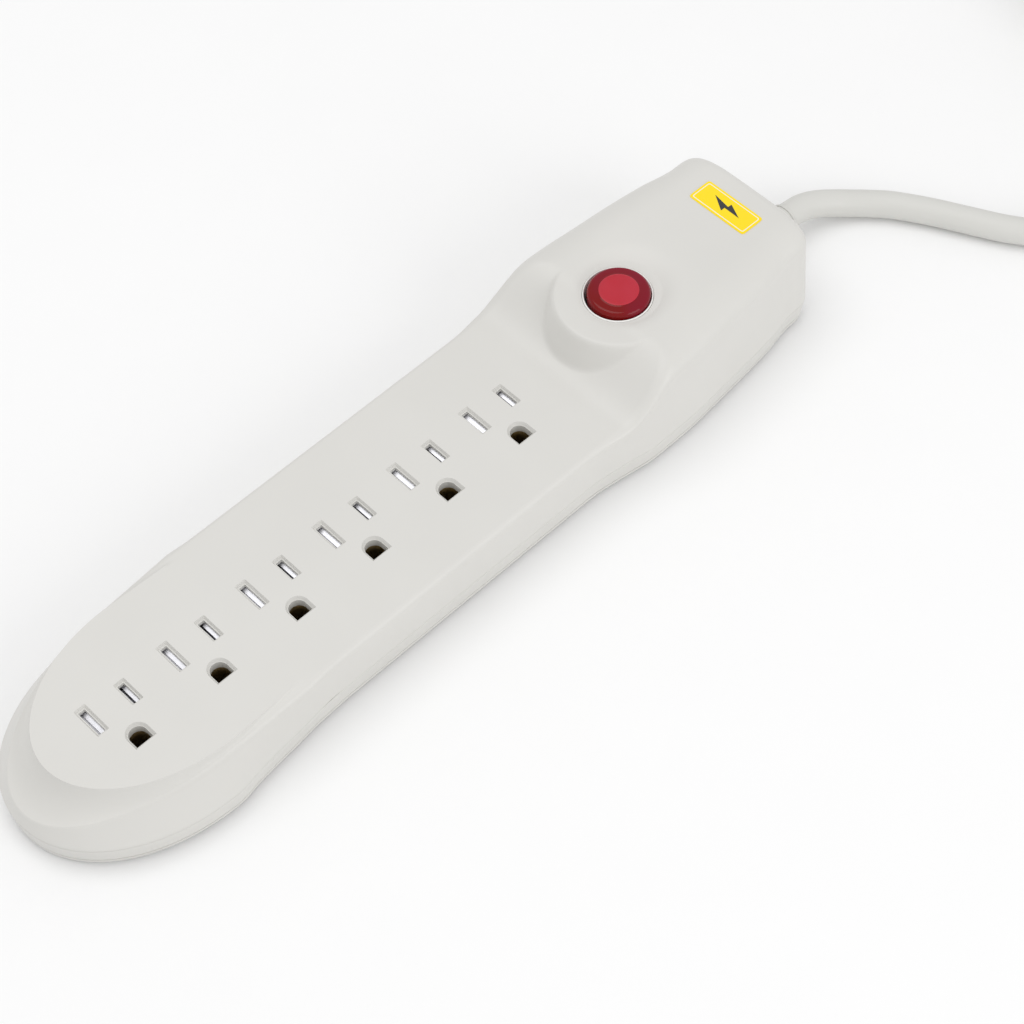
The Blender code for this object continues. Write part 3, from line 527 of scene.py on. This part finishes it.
def housing_mesh():
    straight = evenly(FLARE_END_X, 42.0, 6.0) + evenly(42.0, PATCH_START_X, 2.0)
    straight += evenly(PATCH_START_X, PATCH_END_X, 1.0) + evenly(PATCH_END_X, REAR_START_X - 2.0, 2.0)
    row = stations(72, 22, straight, 56)
    halves = [half_section(s, 0.0, ACROSS, 18, 16, 10) for s in row]
    inner = [half_section(s, WALL, 6, 2, 3, 1) for s in row]
    loops = [whole_loop(a + b[::-1]) for a, b in zip(halves, inner)]
    first, last = row.index(("body", PATCH_START_X)), row.index(("body", PATCH_END_X))
    total = len(loops[0])

    def in_patch(station, k):
        on_top = k < ACROSS or total - 1 - ACROSS <= k < total - 1
        return first <= station < last and on_top

    points, faces = skin(loops, in_patch)
    left = [halves[k][ACROSS] for k in range(first, last + 1)]
    end = halves[last][:ACROSS + 1]
    start = halves[first][:ACROSS + 1]
    mirror = lambda line: [(x, -y, z) for x, y, z in line]
    border = left + end[-2:0:-1] + mirror(end) + mirror(left)[-2::-1] + mirror(start)[-2:0:-1] + start[:-1]
    patch_points, patch_faces = lobe_patch(border)
    shift = len(points)
    faces += [tuple(k + shift for k in face) for face in patch_faces]
    return mesh_from("top_housing_skin", points + patch_points, faces, 32.0)


def slot_outline(half_x, half_y, place, corner=0.25):
    """A slot's rectangle with small round corners."""
    made = []
    for quarter, (sx, sy) in enumerate(((1, 1), (-1, 1), (-1, -1), (1, -1))):
        for k in range(4):
            angle = QUARTER * (quarter + k / 3)
            made.append((
                place[0] + sx * (half_x - corner) + corner * math.cos(angle),
                place[1] + sy * (half_y - corner) + corner * math.sin(angle),
            ))
    return made


def earth_outline(place, grow):
    """A D lying on its flat: a straight foot, short sides and a round top."""
    x, y = place
    half = EARTH_HALF + grow
    arc = [math.pi * k / 24 for k in range(25)]
    return [(x - half, y - EARTH_FLAT - grow), (x + half, y - EARTH_FLAT - grow)] + [
        (x + half * math.cos(a), y + half * math.sin(a)) for a in arc
    ]


def funnel(inner, outer, depth):
    loops = [[(*p, DECK_Z - depth) for p in inner], [(*p, DECK_Z + 0.15) for p in outer]]
    return lofted("funnel", loops)


def outlet_tools(number):
    """The two blade slots and the earth hole, each with its sloping mouth and an inner step."""
    x = FIRST_OUTLET_X + PITCH * number
    made = []
    holes = (
        ((x - BLADE_SPREAD, BLADE_Y), NEUTRAL_SLOT, NEUTRAL_FUNNEL),
        ((x + BLADE_SPREAD, BLADE_Y), LIVE_SLOT, LIVE_FUNNEL),
    )
    for place, slot, mouth in holes:
        step = (slot[0] + 0.28, slot[1] + 0.28)
        made.append(prism("slot", slot_outline(*slot, place), DECK_Z - 2 * WALL, DECK_Z - 0.4))
        made.append(funnel(slot_outline(*step, place), slot_outline(*mouth, place), FUNNEL_DEPTH))
    place = (x, EARTH_Y)
    made.append(prism("earth", earth_outline(place, 0.0), COLLAR_Z - 1.0, DECK_Z - 0.4))
    made.append(funnel(earth_outline(place, 0.12), earth_outline(place, EARTH_FUNNEL_GROW), FUNNEL_DEPTH))
    return made


def collar(x):
    """The wall that stands down from the deck around one earth hole."""
    return prism("collar", earth_outline((x, EARTH_Y), COLLAR_WALL), COLLAR_Z, DECK_Z - WALL / 2)


def exit_tool():
    ring = circle(5.6, 0.0)
    return lofted("exit", [[(x, y, CORD_Z + z) for y, z, _ in ring] for x in (138.0, 150.0)])


def make_housing(look):
    piece = add_piece("top_shell", housing_mesh(), look, "strip", ["deck_housing", "head_housing"])
    low = DECK_Z + LOBE_HEIGHT
    rim = BUTTON_HOLE_R + 0.15
    hole = turned("hole", [(BUTTON_HOLE_R, low - 5), (BUTTON_HOLE_R, low - 0.15), (rim, low), (rim, low + 5)],
                  (BUTTON_X, 0.0), 128)
    tools = [hole, exit_tool()]
    cut(piece, [collar(FIRST_OUTLET_X + PITCH * number) for number in range(OUTLETS)], "UNION")
    for number in range(OUTLETS):
        tools += outlet_tools(number)
    cut(piece, tools)
    shade(piece.data, 32.0)


# ------------------------------------------------------------ the bottom cover


def cover_mesh():
    outside = [
        (4.0, BASE_Z), (2.6, BASE_Z + 0.02), (1.7, 0.9), (1.1, 1.1), (0.8, 1.4), (0.7, 1.8), (0.75, 2.1),
        (0.85, 2.25), (1.25, 2.35), (1.25, 2.65), (0.85, 2.75), (0.65, 2.95), (0.5, 4.4), (0.25, 6.6),
        (0.05, 8.3), (0.3, SEAM_Z - SEAM_GAP),
    ]
    inside = [(WALL, SEAM_Z - SEAM_GAP), (WALL + 0.3, 4.0), (WALL + 1.0, FLOOR_TOP)]
    straight = evenly(FLARE_END_X, 42.0, 12.0) + evenly(42.0, REAR_START_X - 2.0, 3.0)
    loops = []
    for station in stations(64, 16, straight, 40):
        half = [(*seam_point(station, inset), z) for inset, z in outside + inside]
        x = {"near": EDGE_CENTRE_X, "rear": REAR_START_X}.get(station[0], half[0][0])
        loops.append(whole_loop([(x, 0.0, BASE_Z)] + half + [(x, 0.0, FLOOR_TOP)]))
    return lofted("bottom_cover_skin", loops, capped=False)


def both_sides(places):
    return [(x, side * y) for x, y in places for side in (1, -1)]


def make_cover(look):
    piece = add_piece("bottom_cover_tray", cover_mesh(), look, "strip", ["bottom_cover"])
    low = (BASE_Z + FLOOR_TOP) / 2
    pillars = [turned("pillar", [(4.6, low), (4.6, 6.5)], p) for p in both_sides(SCREW_PLACES)]
    cut(piece, pillars, "UNION")
    tools = [exit_tool()]
    for place in both_sides(SCREW_PLACES):
        bore = [(COUNTERBORE_R + 0.4, 0.5), (COUNTERBORE_R + 0.4, BASE_Z), (COUNTERBORE_R, BASE_Z + 0.4),
                (COUNTERBORE_R, COUNTERBORE_TOP), (1.8, COUNTERBORE_TOP), (1.8, 8.0)]
        tools.append(turned("bore", bore, place))
    for place in both_sides(FOOT_PLACES):
        tools.append(turned("pocket", [(FOOT_R + 0.3, 0.5), (FOOT_R + 0.3, FOOT_TOP + 0.3)], place))
    cut(piece, tools)
    shade(piece.data, 35.0)


def make_feet(look):
    for number, place in enumerate(both_sides(FOOT_PLACES), 1):
        profile = [(4.2, 0.35), (4.4, 0.05), (5.2, 0.0), (5.7, 0.12), (FOOT_R, 0.5), (FOOT_R, FOOT_TOP)]
        add_piece(f"rubber_foot_{number}", turned("foot", profile, place), look, "strip",
                  [f"foot_{number}"])


def make_screws(look):
    """Pan heads with a cross recess, seen in the cover's counterbores."""
    for number, place in enumerate(both_sides(SCREW_PLACES), 1):
        profile = [(1.5, 2.6), (2.2, 2.7), (2.65, 3.0), (SCREW_HEAD_R, 3.5), (SCREW_HEAD_R, 4.2), (1.45, 4.2)]
        profile += [(1.45 - 0.25 * (k % 2), 4.8 + 0.5 * k) for k in range(21)] + [(0.5, 16.0)]
        piece = add_piece(f"screw_{number}", turned("screw", profile, place, 32), look, "strip",
                          [f"cover_screw_{number}"])
        x, y = place
        arms = []
        for long_x, long_y in ((1.5, 0.32), (0.32, 1.5)):
            top = [(x - long_x, y - long_y), (x + long_x, y - long_y), (x + long_x, y + long_y), (x - long_x, y + long_y)]
            tip = [(x + (px - x) * 0.4, y + (py - y) * 0.8) for px, py in top]
            arms.append(lofted("arm", [[(*p, 2.3) for p in top], [(*p, 3.7) for p in tip]]))
        cut(piece, arms)
        shade(piece.data, 35.0)


# ------------------------------------------------------------------- the button


def make_button(looks):
    rim = CAP_TOP_Z - 1.8
    shoulder = [
        (CAP_R - 1.3 + 1.3 * math.cos(a), rim + 1.35 * math.sin(a)) for a in (QUARTER * k / 8 for k in range(9))
    ]
    top = [(7.4, CAP_TOP_Z - 0.38), (6.7, CAP_TOP_Z - 0.32), (FROST_R + 0.12, CAP_TOP_Z - 0.28)]
    disc = [(FROST_R, CAP_TOP_Z - 0.2), (5.4, CAP_TOP_Z - 0.12), (3.0, CAP_TOP_Z - 0.03), (1.0, CAP_TOP_Z)]
    hollow = [(1.0, CAP_TOP_Z - 1.7), (6.8, CAP_TOP_Z - 2.1), (CAP_R - 1.2, 34.6), (CAP_R - 1.2, CAP_BOTTOM_Z)]
    profile = hollow + [(CAP_R, CAP_BOTTOM_Z)] + shoulder + top + disc
    mesh = turned("cap", profile, CAP_PLACE, 128, sharp=50.0)
    piece = add_piece("button_cap_dome", mesh, looks["cap"], "button", ["button_cap"])
    piece.data.materials.append(looks["frost"])
    for face in piece.data.polygons:
        middle = face.center
        reach = math.hypot(middle.x - CAP_PLACE[0] * MM, middle.y - CAP_PLACE[1] * MM)
        if middle.z > (CAP_TOP_Z - 0.27) * MM and reach < (FROST_R + 0.05) * MM:
            face.material_index = 1
    ring = [(9.98, 26.4), (10.5, 26.4), (10.5, 35.85), (10.42, 36.0), (10.28, 36.06), (10.12, 36.0), (10.0, 35.8)]
    mesh = turned("bezel", ring, (BUTTON_X, 0.0), 128, closed_ring=True)
    add_piece("button_bezel_ring", mesh, looks["bezel"], "strip", ["button_bezel"])


# ----------------------------------------------------------------- the contacts


def joined(name, parts, sharp=35.0):
    """One mesh from several closed bodies, each a (points, faces) pair."""
    points, faces = [], []
    for some_points, some_faces in parts:
        shift = len(points)
        points += some_points
        faces += [tuple(k + shift for k in face) for face in some_faces]
    return mesh_from(name, points, faces, sharp)


def extruded(profile, y0, y1):
    """A closed body from an outline in x and z, drawn out along y."""
    loops = [[(x, y, z) for x, z in profile] for y in (y0, y1)]
    points, faces = skin(loops)
    count = len(profile)
    return points, faces + [tuple(range(count)), tuple(range(count, 2 * count))]


def blade_contact(x, grip, lip, y0, y1):
    """A pair of sprung leaves whose lips flare outwards right under a blade slot."""
    top = LIP_Z + LIP_SLOPE * (lip - grip)
    leaf = [(LEAF_FOOT, CONTACT_BOTTOM), (LEAF_FOOT - 0.15, 14.0), (grip, LIP_Z - 1.6), (grip, LIP_Z), (lip, top),
            (lip + 0.1, top - LEAF), (grip + LEAF + 0.2, LIP_Z - 0.5), (grip + LEAF, LIP_Z - 1.6),
            (LEAF_FOOT - 0.15 + LEAF, 14.0), (LEAF_FOOT + LEAF, CONTACT_BOTTOM)]
    return [extruded([(x + side * px, z) for px, z in leaf], y0, y1) for side in (-1, 1)]


def contact_bar(y):
    half = 0.4
    outline = [(BAR_START_X, CONTACT_BOTTOM), (BAR_END_X, CONTACT_BOTTOM), (BAR_END_X, BAR_TOP), (BAR_START_X, BAR_TOP)]
    return extruded(outline, y - half, y + half)


def earth_contact(x):
    """A rolled sleeve with a flared mouth for the earth pin, and the tab that holds it."""
    sleeve = [(2.5, 9.0), (2.45, 18.2), (2.6, 19.0), (3.05, 19.9), (3.35, 19.7), (3.0, 18.8), (2.85, 18.0), (2.9, 9.0)]
    loops = [circle(r, z, (x, EARTH_Y), 40) for r, z in sleeve]
    tab = [(x - 1.6, 10.0), (x + 1.6, 10.0), (x + 1.6, 16.0), (x - 1.6, 16.0)]
    return [skin(loops + loops[:1]), extruded(tab, EARTH_BAR_Y, EARTH_Y - 2.6)]


def make_contacts(looks):
    middles = [FIRST_OUTLET_X + PITCH * k for k in range(OUTLETS)]
    neutral, live, earth = ([contact_bar(y)] for y in (NEUTRAL_BAR_Y, LIVE_BAR_Y, EARTH_BAR_Y))
    for x in middles:
        neutral += blade_contact(x - BLADE_SPREAD, *NEUTRAL_LEAF, BLADE_Y - NEUTRAL_SLOT[1] - 0.6, NEUTRAL_BAR_Y)
        live += blade_contact(x + BLADE_SPREAD, *LIVE_LEAF, LIVE_BAR_Y, BLADE_Y + LIVE_SLOT[1] + 0.6)
        earth += earth_contact(x)
    for name, parts, look in (("neutral", neutral, "plated"), ("live", live, "plated"), ("earth", earth, "brass")):
        add_piece(f"{name}_contacts", joined(name, parts), looks[look], "strip", [f"{name}_busbar"])


# ------------------------------------------------------------- cord and plug


def tube(name, points, radius, look, replaced, sides=8):
    curve = bpy.data.curves.new(name, "CURVE")
    curve.dimensions = "3D"
    curve.bevel_depth = radius * MM
    curve.bevel_resolution = sides
    curve.use_fill_caps = True
    line = curve.splines.new("POLY")
    line.points.add(len(points) - 1)
    for spot, point in zip(line.points, to_metres(points)):
        spot.co = (*point, 1.0)
    line.use_smooth = True
    curve.materials.append(look)
    return add_piece(name, curve, None, "strip", replaced)


def through(points, per_span):
    """Points of the Catmull-Rom curve through a few chosen ones."""
    spots = [Vector(p) for p in points]
    spots = [2 * spots[0] - spots[1]] + spots + [2 * spots[-1] - spots[-2]]
    made = []
    for a, b, c, d in zip(spots, spots[1:], spots[2:], spots[3:]):
        for k in range(per_span):
            t = k / per_span
            made.append(tuple(0.5 * (2 * b + (c - a) * t + (2 * a - 5 * b + 4 * c - d) * t * t
                                     + (3 * b - a - 3 * c + d) * t ** 3)))
    return made + [tuple(spots[-2])]


def coil_points(per_turn=48):
    """The wound part: turns pass from one place in the bundle to the next, half a cord at a time."""
    out, inn = COIL_R + CORD_R, COIL_R - CORD_R
    levels = [CORD_R + 0.1 + 2 * CORD_R * k for k in range(3)]
    places = [(out, levels[0]), (inn, levels[0]), (inn, levels[1]), (out, levels[1]), (inn, levels[2]),
              (out, levels[2])]
    end = COIL_END + 360.0 * (len(places) - 1)
    made = []
    count = round((end - COIL_JOIN) / 360.0 * per_turn)
    for k in range(count + 1):
        angle = COIL_JOIN + (end - COIL_JOIN) * k / count
        radius, z = places[0]
        for number in range(1, len(places)):
            start = COIL_JOIN + 360.0 * number - 67.0 - 55.0 * (number - 1)
            share = ease((angle - start) / 45.0)
            if share > 0.0:
                radius, z = mix(places[number - 1], places[number], share)
                if number == 4:
                    swing = QUARTER * share
                    radius = inn + 2 * CORD_R * math.cos(swing)
                    z = levels[1] + 2 * CORD_R * math.sin(swing)
        a = math.radians(angle)
        made.append((COIL_CENTRE[0] + radius * math.cos(a), COIL_CENTRE[1] + radius * math.sin(a), z))
    return made


def ring_section(x, half_y, half_z, count=48):
    turns = [2 * math.pi * k / count for k in range(count)]
    return [(x, half_y * math.cos(a), CORD_Z + half_z * math.sin(a)) for a in turns]


def strain_relief_mesh():
    """A tapered sleeve with grooves that let it flex."""
    sections = [(139.9, 7.6, 5.6), (142.1, 7.6, 5.6), (142.1, 5.2, 5.2), (145.4, 5.2, 5.2), (145.4, 6.6, 6.4),
                (146.9, 6.7, 6.5), (147.3, 6.4, 6.3)]
    x, radius = 147.6, 6.2
    while x < EXIT_X - 2.6:
        sections += [(x, radius, radius), (x + 1.2, radius - 0.1, radius - 0.1), (x + 1.35, radius - 0.6, radius - 0.6),
                     (x + 1.9, radius - 0.65, radius - 0.65)]
        x, radius = x + 2.05, radius - 0.22
    sections += [(x, radius, radius), (EXIT_X - 0.4, 5.0, 5.0), (EXIT_X, 4.6, 4.6)]
    return lofted("strain_relief", [ring_section(*s) for s in sections], sharp=40.0)


def superellipse(y, half_x, half_z, power, count=96):
    made = []
    for k in range(count):
        angle = 2 * math.pi * k / count
        c, s = math.cos(angle), math.sin(angle)
        x = PLUG_X + half_x * math.copysign(abs(c) ** (2 / power), c)
        made.append((x, y, PLUG_Z + half_z * math.copysign(abs(s) ** (2 / power), s)))
    return made


def plug_body_mesh():
    """A moulded plug: ribbed relief, waisted grip with shallow finger ribs, and a flat face."""
    y = PLUG_START_Y
    sections = [(y, 4.7, 4.7, 2.0), (y + 0.3, 5.1, 5.1, 2.0)]
    for k in range(5):
        r = 5.2 + 0.2 * k
        start = y + 1.2 + 2.1 * k
        sections += [(start, r, r, 2.0), (start + 1.0, r, r, 2.0), (start + 1.2, r - 0.6, r - 0.6, 2.0),
                     (start + 1.8, r - 0.6, r - 0.6, 2.0)]
    body = smooth_curve([(12.2, 6.4), (14.0, 8.6), (20.0, 11.2), (32.0, 11.6), (42.0, 12.6), (48.0, 12.95)])
    height = smooth_curve([(12.2, 6.3), (14.0, 8.2), (20.0, 10.6), (32.0, 11.2), (42.0, 12.0), (48.0, 12.25)])
    power = smooth_curve([(12.2, 2.0), (20.0, 3.0), (48.0, 4.0)])
    for k in range(60):
        s = 12.2 + (48.0 - 12.2) * k / 59
        rib = 0.22 * max(math.sin(2 * math.pi * (s - 21.0) / 2.6), 0.0) if 21.0 < s < 34.0 else 0.0
        sections.append((y + s, body(s) - rib, height(s), power(s)))
    sections += [(PLUG_FACE_Y - 0.6, 12.85, 12.2, 4.0), (PLUG_FACE_Y - 0.15, 12.5, 11.9, 4.0),
                 (PLUG_FACE_Y, 12.0, 11.4, 4.0)]
    return lofted("plug_body", [superellipse(*s) for s in sections], sharp=40.0)


def make_cord(looks):
    coil = coil_points()
    lead = through(CORD_START + LEAD_ROUTE + coil[:2], 5)[:-5]
    plug_end = (PLUG_X, PLUG_START_Y + 2.0, PLUG_Z)
    tail = through(coil[-2:] + OFF_THE_COIL + TAIL_ROUTE + [plug_end], 5)[6:]
    cord = tube("mains_lead", lead[:-1] + coil + tail, CORD_R, looks["cord"],
                ["cord_lead", "cord_coil", "cord_tail"])
    relief = add_piece("strain_relief_sleeve", strain_relief_mesh(), looks["cord"], "strip",
                       ["strain_relief"])
    plug = add_piece("plug_moulding", plug_body_mesh(), looks["cord"], "strip", ["plug_body"])


# ------------------------------------------------------------------ the label


def make_label(looks):
    """A plain yellow label with a white line round it and a generic lightning bolt."""
    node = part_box("label_plate")
    x0, y0, _ = (c / MM for c in node[0])
    x1, y1, _ = (c / MM for c in node[1])
    place = ((x0 + x1) / 2, (y0 + y1) / 2)
    half = ((x1 - x0) / 2, (y1 - y0) / 2)
    slope = math.atan((head_spine(x1) - head_spine(x0)) / (x1 - x0))

    def laid(name, outline, low, high, look):
        def point(x, y, z):
            return x, y, DECK_Z + head_spine(place[0]) + z + math.tan(slope) * (x - place[0])
        loops = [[point(*p, z) for p in outline] for z in (low, high)]
        return lofted(name, loops)

    layers = (
        ("label_yellow", slot_outline(*half, place, 0.9), -0.05, 0.22, looks["yellow"]),
        ("label_line", slot_outline(half[0] - 0.7, half[1] - 0.7, place, 0.6), 0.15, 0.235, looks["label_white"]),
        ("label_field", slot_outline(half[0] - 0.95, half[1] - 0.95, place, 0.5), 0.15, 0.25, looks["yellow"]),
        ("label_bolt", bolt_outline(place), 0.15, 0.27, looks["ink"]),
    )
    for name, outline, low, high, look in layers:
        piece = add_piece(name, laid(name, outline, low, high, look), look, "strip")
        if name == "label_yellow":
            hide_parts("label_plate")


def bolt_outline(place):
    """A lightning bolt that points along the strip's width."""
    shape = [(-0.4, -4.6), (1.6, -0.4), (0.45, -0.3), (1.2, 4.6), (-1.6, 0.1), (-0.35, 0.1)]
    return [(place[0] + 1.25 * x, place[1] + 1.25 * y) for x, y in shape]


# ------------------------------------------------------------------ materials


def shader_of(material):
    material.use_nodes = True
    return material.node_tree.nodes["Principled BSDF"]


def node(material, kind, **values):
    made = material.node_tree.nodes.new(kind)
    for key, value in values.items():
        if key in made.inputs:
            made.inputs[key].default_value = value
        else:
            setattr(made, key, value)
    return made


def link(material, source, target):
    material.node_tree.links.new(source, target)


def noise(material, scale, detail=3.0):
    place = node(material, "ShaderNodeTexCoord")
    made = node(material, "ShaderNodeTexNoise", Scale=scale, Detail=detail)
    link(material, place.outputs["Object"], made.inputs["Vector"])
    return made


def ramp(material, source, low, high, positions=(0.35, 0.65)):
    made = node(material, "ShaderNodeValToRGB")
    for stop, place, colour in zip(made.color_ramp.elements, positions, (low, high)):
        stop.position = place
        stop.color = (*colour, 1.0)
    link(material, source.outputs["Fac"], made.inputs["Fac"])
    return made


def spread(material, source, low, high):
    made = node(material, "ShaderNodeMapRange")
    made.inputs["To Min"].default_value = low
    made.inputs["To Max"].default_value = high
    link(material, source.outputs["Fac"], made.inputs["Value"])
    return made


def bump(material, source, strength, distance):
    made = node(material, "ShaderNodeBump", Strength=strength, Distance=distance)
    link(material, source.outputs["Fac"], made.inputs["Height"])
    link(material, made.outputs["Normal"], shader_of(material).inputs["Normal"])
    return made


def moulded(name, colour, shift, roughness, grain=1800.0, depth=0.00003, metallic=0.0, coarse=35.0):
    """A finish with a slow drift of colour, uneven gloss and a fine moulded grain."""
    made = bpy.data.materials.new(name)
    shader = shader_of(made)
    other = tuple(max(c - shift, 0.0) for c in colour)
    drift = ramp(made, noise(made, coarse), other, colour)
    link(made, drift.outputs["Color"], shader.inputs["Base Color"])
    gloss = spread(made, noise(made, coarse * 6), roughness - 0.05, roughness + 0.05)
    link(made, gloss.outputs["Result"], shader.inputs["Roughness"])
    shader.inputs["Metallic"].default_value = metallic
    bump(made, noise(made, grain, 2.0), 0.25, depth)
    return made


def clear_red(name, colour, roughness, transmission):
    made = moulded(name, colour, 0.03, roughness, grain=900.0, depth=0.00001)
    shader = shader_of(made)
    shader.inputs["Transmission Weight"].default_value = transmission
    shader.inputs["IOR"].default_value = 1.49
    shader.inputs["Specular IOR Level"].default_value = 0.3
    return made


def frosted(name):
    """The button's matt centre."""
    made = moulded(name, (0.50, 0.025, 0.055), 0.04, 0.42, grain=2500.0, depth=0.00002)
    shader = shader_of(made)
    shader.inputs["Subsurface Weight"].default_value = 0.15
    shader.inputs["Subsurface Radius"].default_value = (0.003, 0.0004, 0.0004)
    shader.inputs["Subsurface Scale"].default_value = 1.0
    return made


def make_looks():
    return {
        "shell": moulded("shell_plastic", (0.682, 0.672, 0.642), 0.012, 0.42),
        "rubber": moulded("foot_rubber", (0.035, 0.035, 0.037), 0.01, 0.82, grain=900.0, depth=0.0001),
        "steel": moulded("zinc_steel", (0.62, 0.62, 0.62), 0.08, 0.32, metallic=1.0, coarse=200.0),
        "plated": moulded("nickel_plate", (0.93, 0.93, 0.97), 0.03, 0.5, grain=500.0, depth=0.000002, metallic=1.0, coarse=120.0),
        "brass": moulded("brass_strip", (0.40, 0.32, 0.19), 0.08, 0.42, grain=500.0, depth=0.000004, metallic=1.0, coarse=150.0),
        "black": moulded("black_plastic", (0.025, 0.025, 0.027), 0.008, 0.5),
        "bezel": moulded("bezel_plastic", (0.90, 0.89, 0.87), 0.01, 0.25),
        "cap": clear_red("red_acrylic", (0.22, 0.002, 0.028), 0.10, 0.0),
        "frost": frosted("red_frosted"),
        "diffuser": moulded("red_diffuser", (0.45, 0.03, 0.05), 0.04, 0.6),
        "glass": clear_red("lamp_glass", (0.95, 0.80, 0.70), 0.05, 0.9),
        "cord": moulded("cord_jacket", (0.66, 0.655, 0.625), 0.015, 0.48, grain=1200.0, depth=0.00005),
        "wire_black": moulded("insulation_black", (0.02, 0.02, 0.022), 0.006, 0.45),
        "wire_white": moulded("insulation_white", (0.80, 0.80, 0.78), 0.02, 0.45),
        "wire_green": moulded("insulation_green", (0.02, 0.24, 0.07), 0.02, 0.45),
        "yellow": moulded("label_film", (0.98, 0.73, 0.002), 0.015, 0.32),
        "label_white": moulded("label_print_white", (0.88, 0.88, 0.86), 0.01, 0.35),
        "ink": moulded("label_print_dark", (0.03, 0.03, 0.035), 0.005, 0.4),
        "floor": moulded("pale_floor", (0.93, 0.93, 0.93), 0.004, 0.75, grain=300.0),
    }


def dress_frame(looks):
    """Give each CAD node that stays a finish of its own."""
    kept = {
        "switch_body": "black", "button_diffuser": "diffuser", "plunger": "bezel",
        "return_spring": "steel", "neon_lamp": "glass", "line_terminal": "brass",
        "load_terminal": "brass", "line_wire": "wire_black", "switched_wire": "wire_black",
        "neutral_wire": "wire_white", "earth_wire": "wire_green", "cord_jacket_end": "cord",
        "cord_clamp": "black", "clamp_screw_1": "steel", "clamp_screw_2": "steel",
        "plug_blade_neutral": "plated", "plug_blade_live": "plated", "plug_earth_pin": "plated",
    }
    for name, look in kept.items():
        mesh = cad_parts[name].data
        mesh.materials.clear()
        mesh.materials.append(looks[look])


# --------------------------------------------------------------------- studio


def make_camera():
    azimuth, elevation, roll = (math.radians(a) for a in (CAMERA_AZIMUTH, CAMERA_ELEVATION, CAMERA_ROLL))
    back = Vector((math.sin(azimuth) * math.cos(elevation), -math.cos(azimuth) * math.cos(elevation),
                   math.sin(elevation)))
    right = Vector((math.cos(azimuth), math.sin(azimuth), 0.0))
    up = back.cross(right)
    across = math.cos(roll) * right + math.sin(roll) * up
    upward = -math.sin(roll) * right + math.cos(roll) * up
    data = bpy.data.cameras.new("camera")
    data.lens = CAMERA_LENS
    data.sensor_width = 36.0
    data.clip_start = 0.01
    camera = bpy.data.objects.new("camera", data)
    turn = Matrix((across, upward, back)).transposed().to_4x4()
    place = (Vector(CAMERA_TARGET) + back * CAMERA_DISTANCE) * MM
    camera.matrix_world = Matrix.Translation(place) @ turn
    bpy.context.scene.collection.objects.link(camera)
    bpy.context.scene.camera = camera


def area_light(name, place, aim, size, power):
    data = bpy.data.lights.new(name, "AREA")
    data.shape = "DISK"
    data.size = size
    data.energy = power
    light = bpy.data.objects.new(name, data)
    light.location = place
    light.rotation_euler = (Vector(aim) - Vector(place)).to_track_quat("-Z", "Y").to_euler()
    bpy.context.scene.collection.objects.link(light)


def make_studio(looks):
    floor_mesh = prism("floor", [(-4000.0, -4000.0), (4000.0, -4000.0), (4000.0, 4000.0), (-4000.0, 4000.0)],
                       -10.2, -0.2)
    floor_mesh.materials.append(looks["floor"])
    floor = bpy.data.objects.new("floor", floor_mesh)
    bpy.context.scene.collection.objects.link(floor)
    area_light("overhead", (-0.15, 0.35, 1.4), (0.0, 0.0, 0.0), 1.2, 5.5)
    area_light("front_fill", (0.2, -1.3, 0.7), (0.0, 0.0, 0.0), 1.0, 5.0)
    world = bpy.data.worlds.new("studio")
    world.use_nodes = True
    world.node_tree.nodes["Background"].inputs["Color"].default_value = (1.0, 1.0, 1.0, 1.0)
    world.node_tree.nodes["Background"].inputs["Strength"].default_value = 0.74
    bpy.context.scene.world = world
    bpy.context.scene.view_settings.view_transform = "Standard"


looks = make_looks()
make_camera()
make_cord(looks)
dress_frame(looks)
make_housing(looks["shell"])
make_cover(looks["shell"])
make_feet(looks["rubber"])
make_screws(looks["steel"])
make_button(looks)
make_contacts(looks)
make_label(looks)
make_studio(looks)
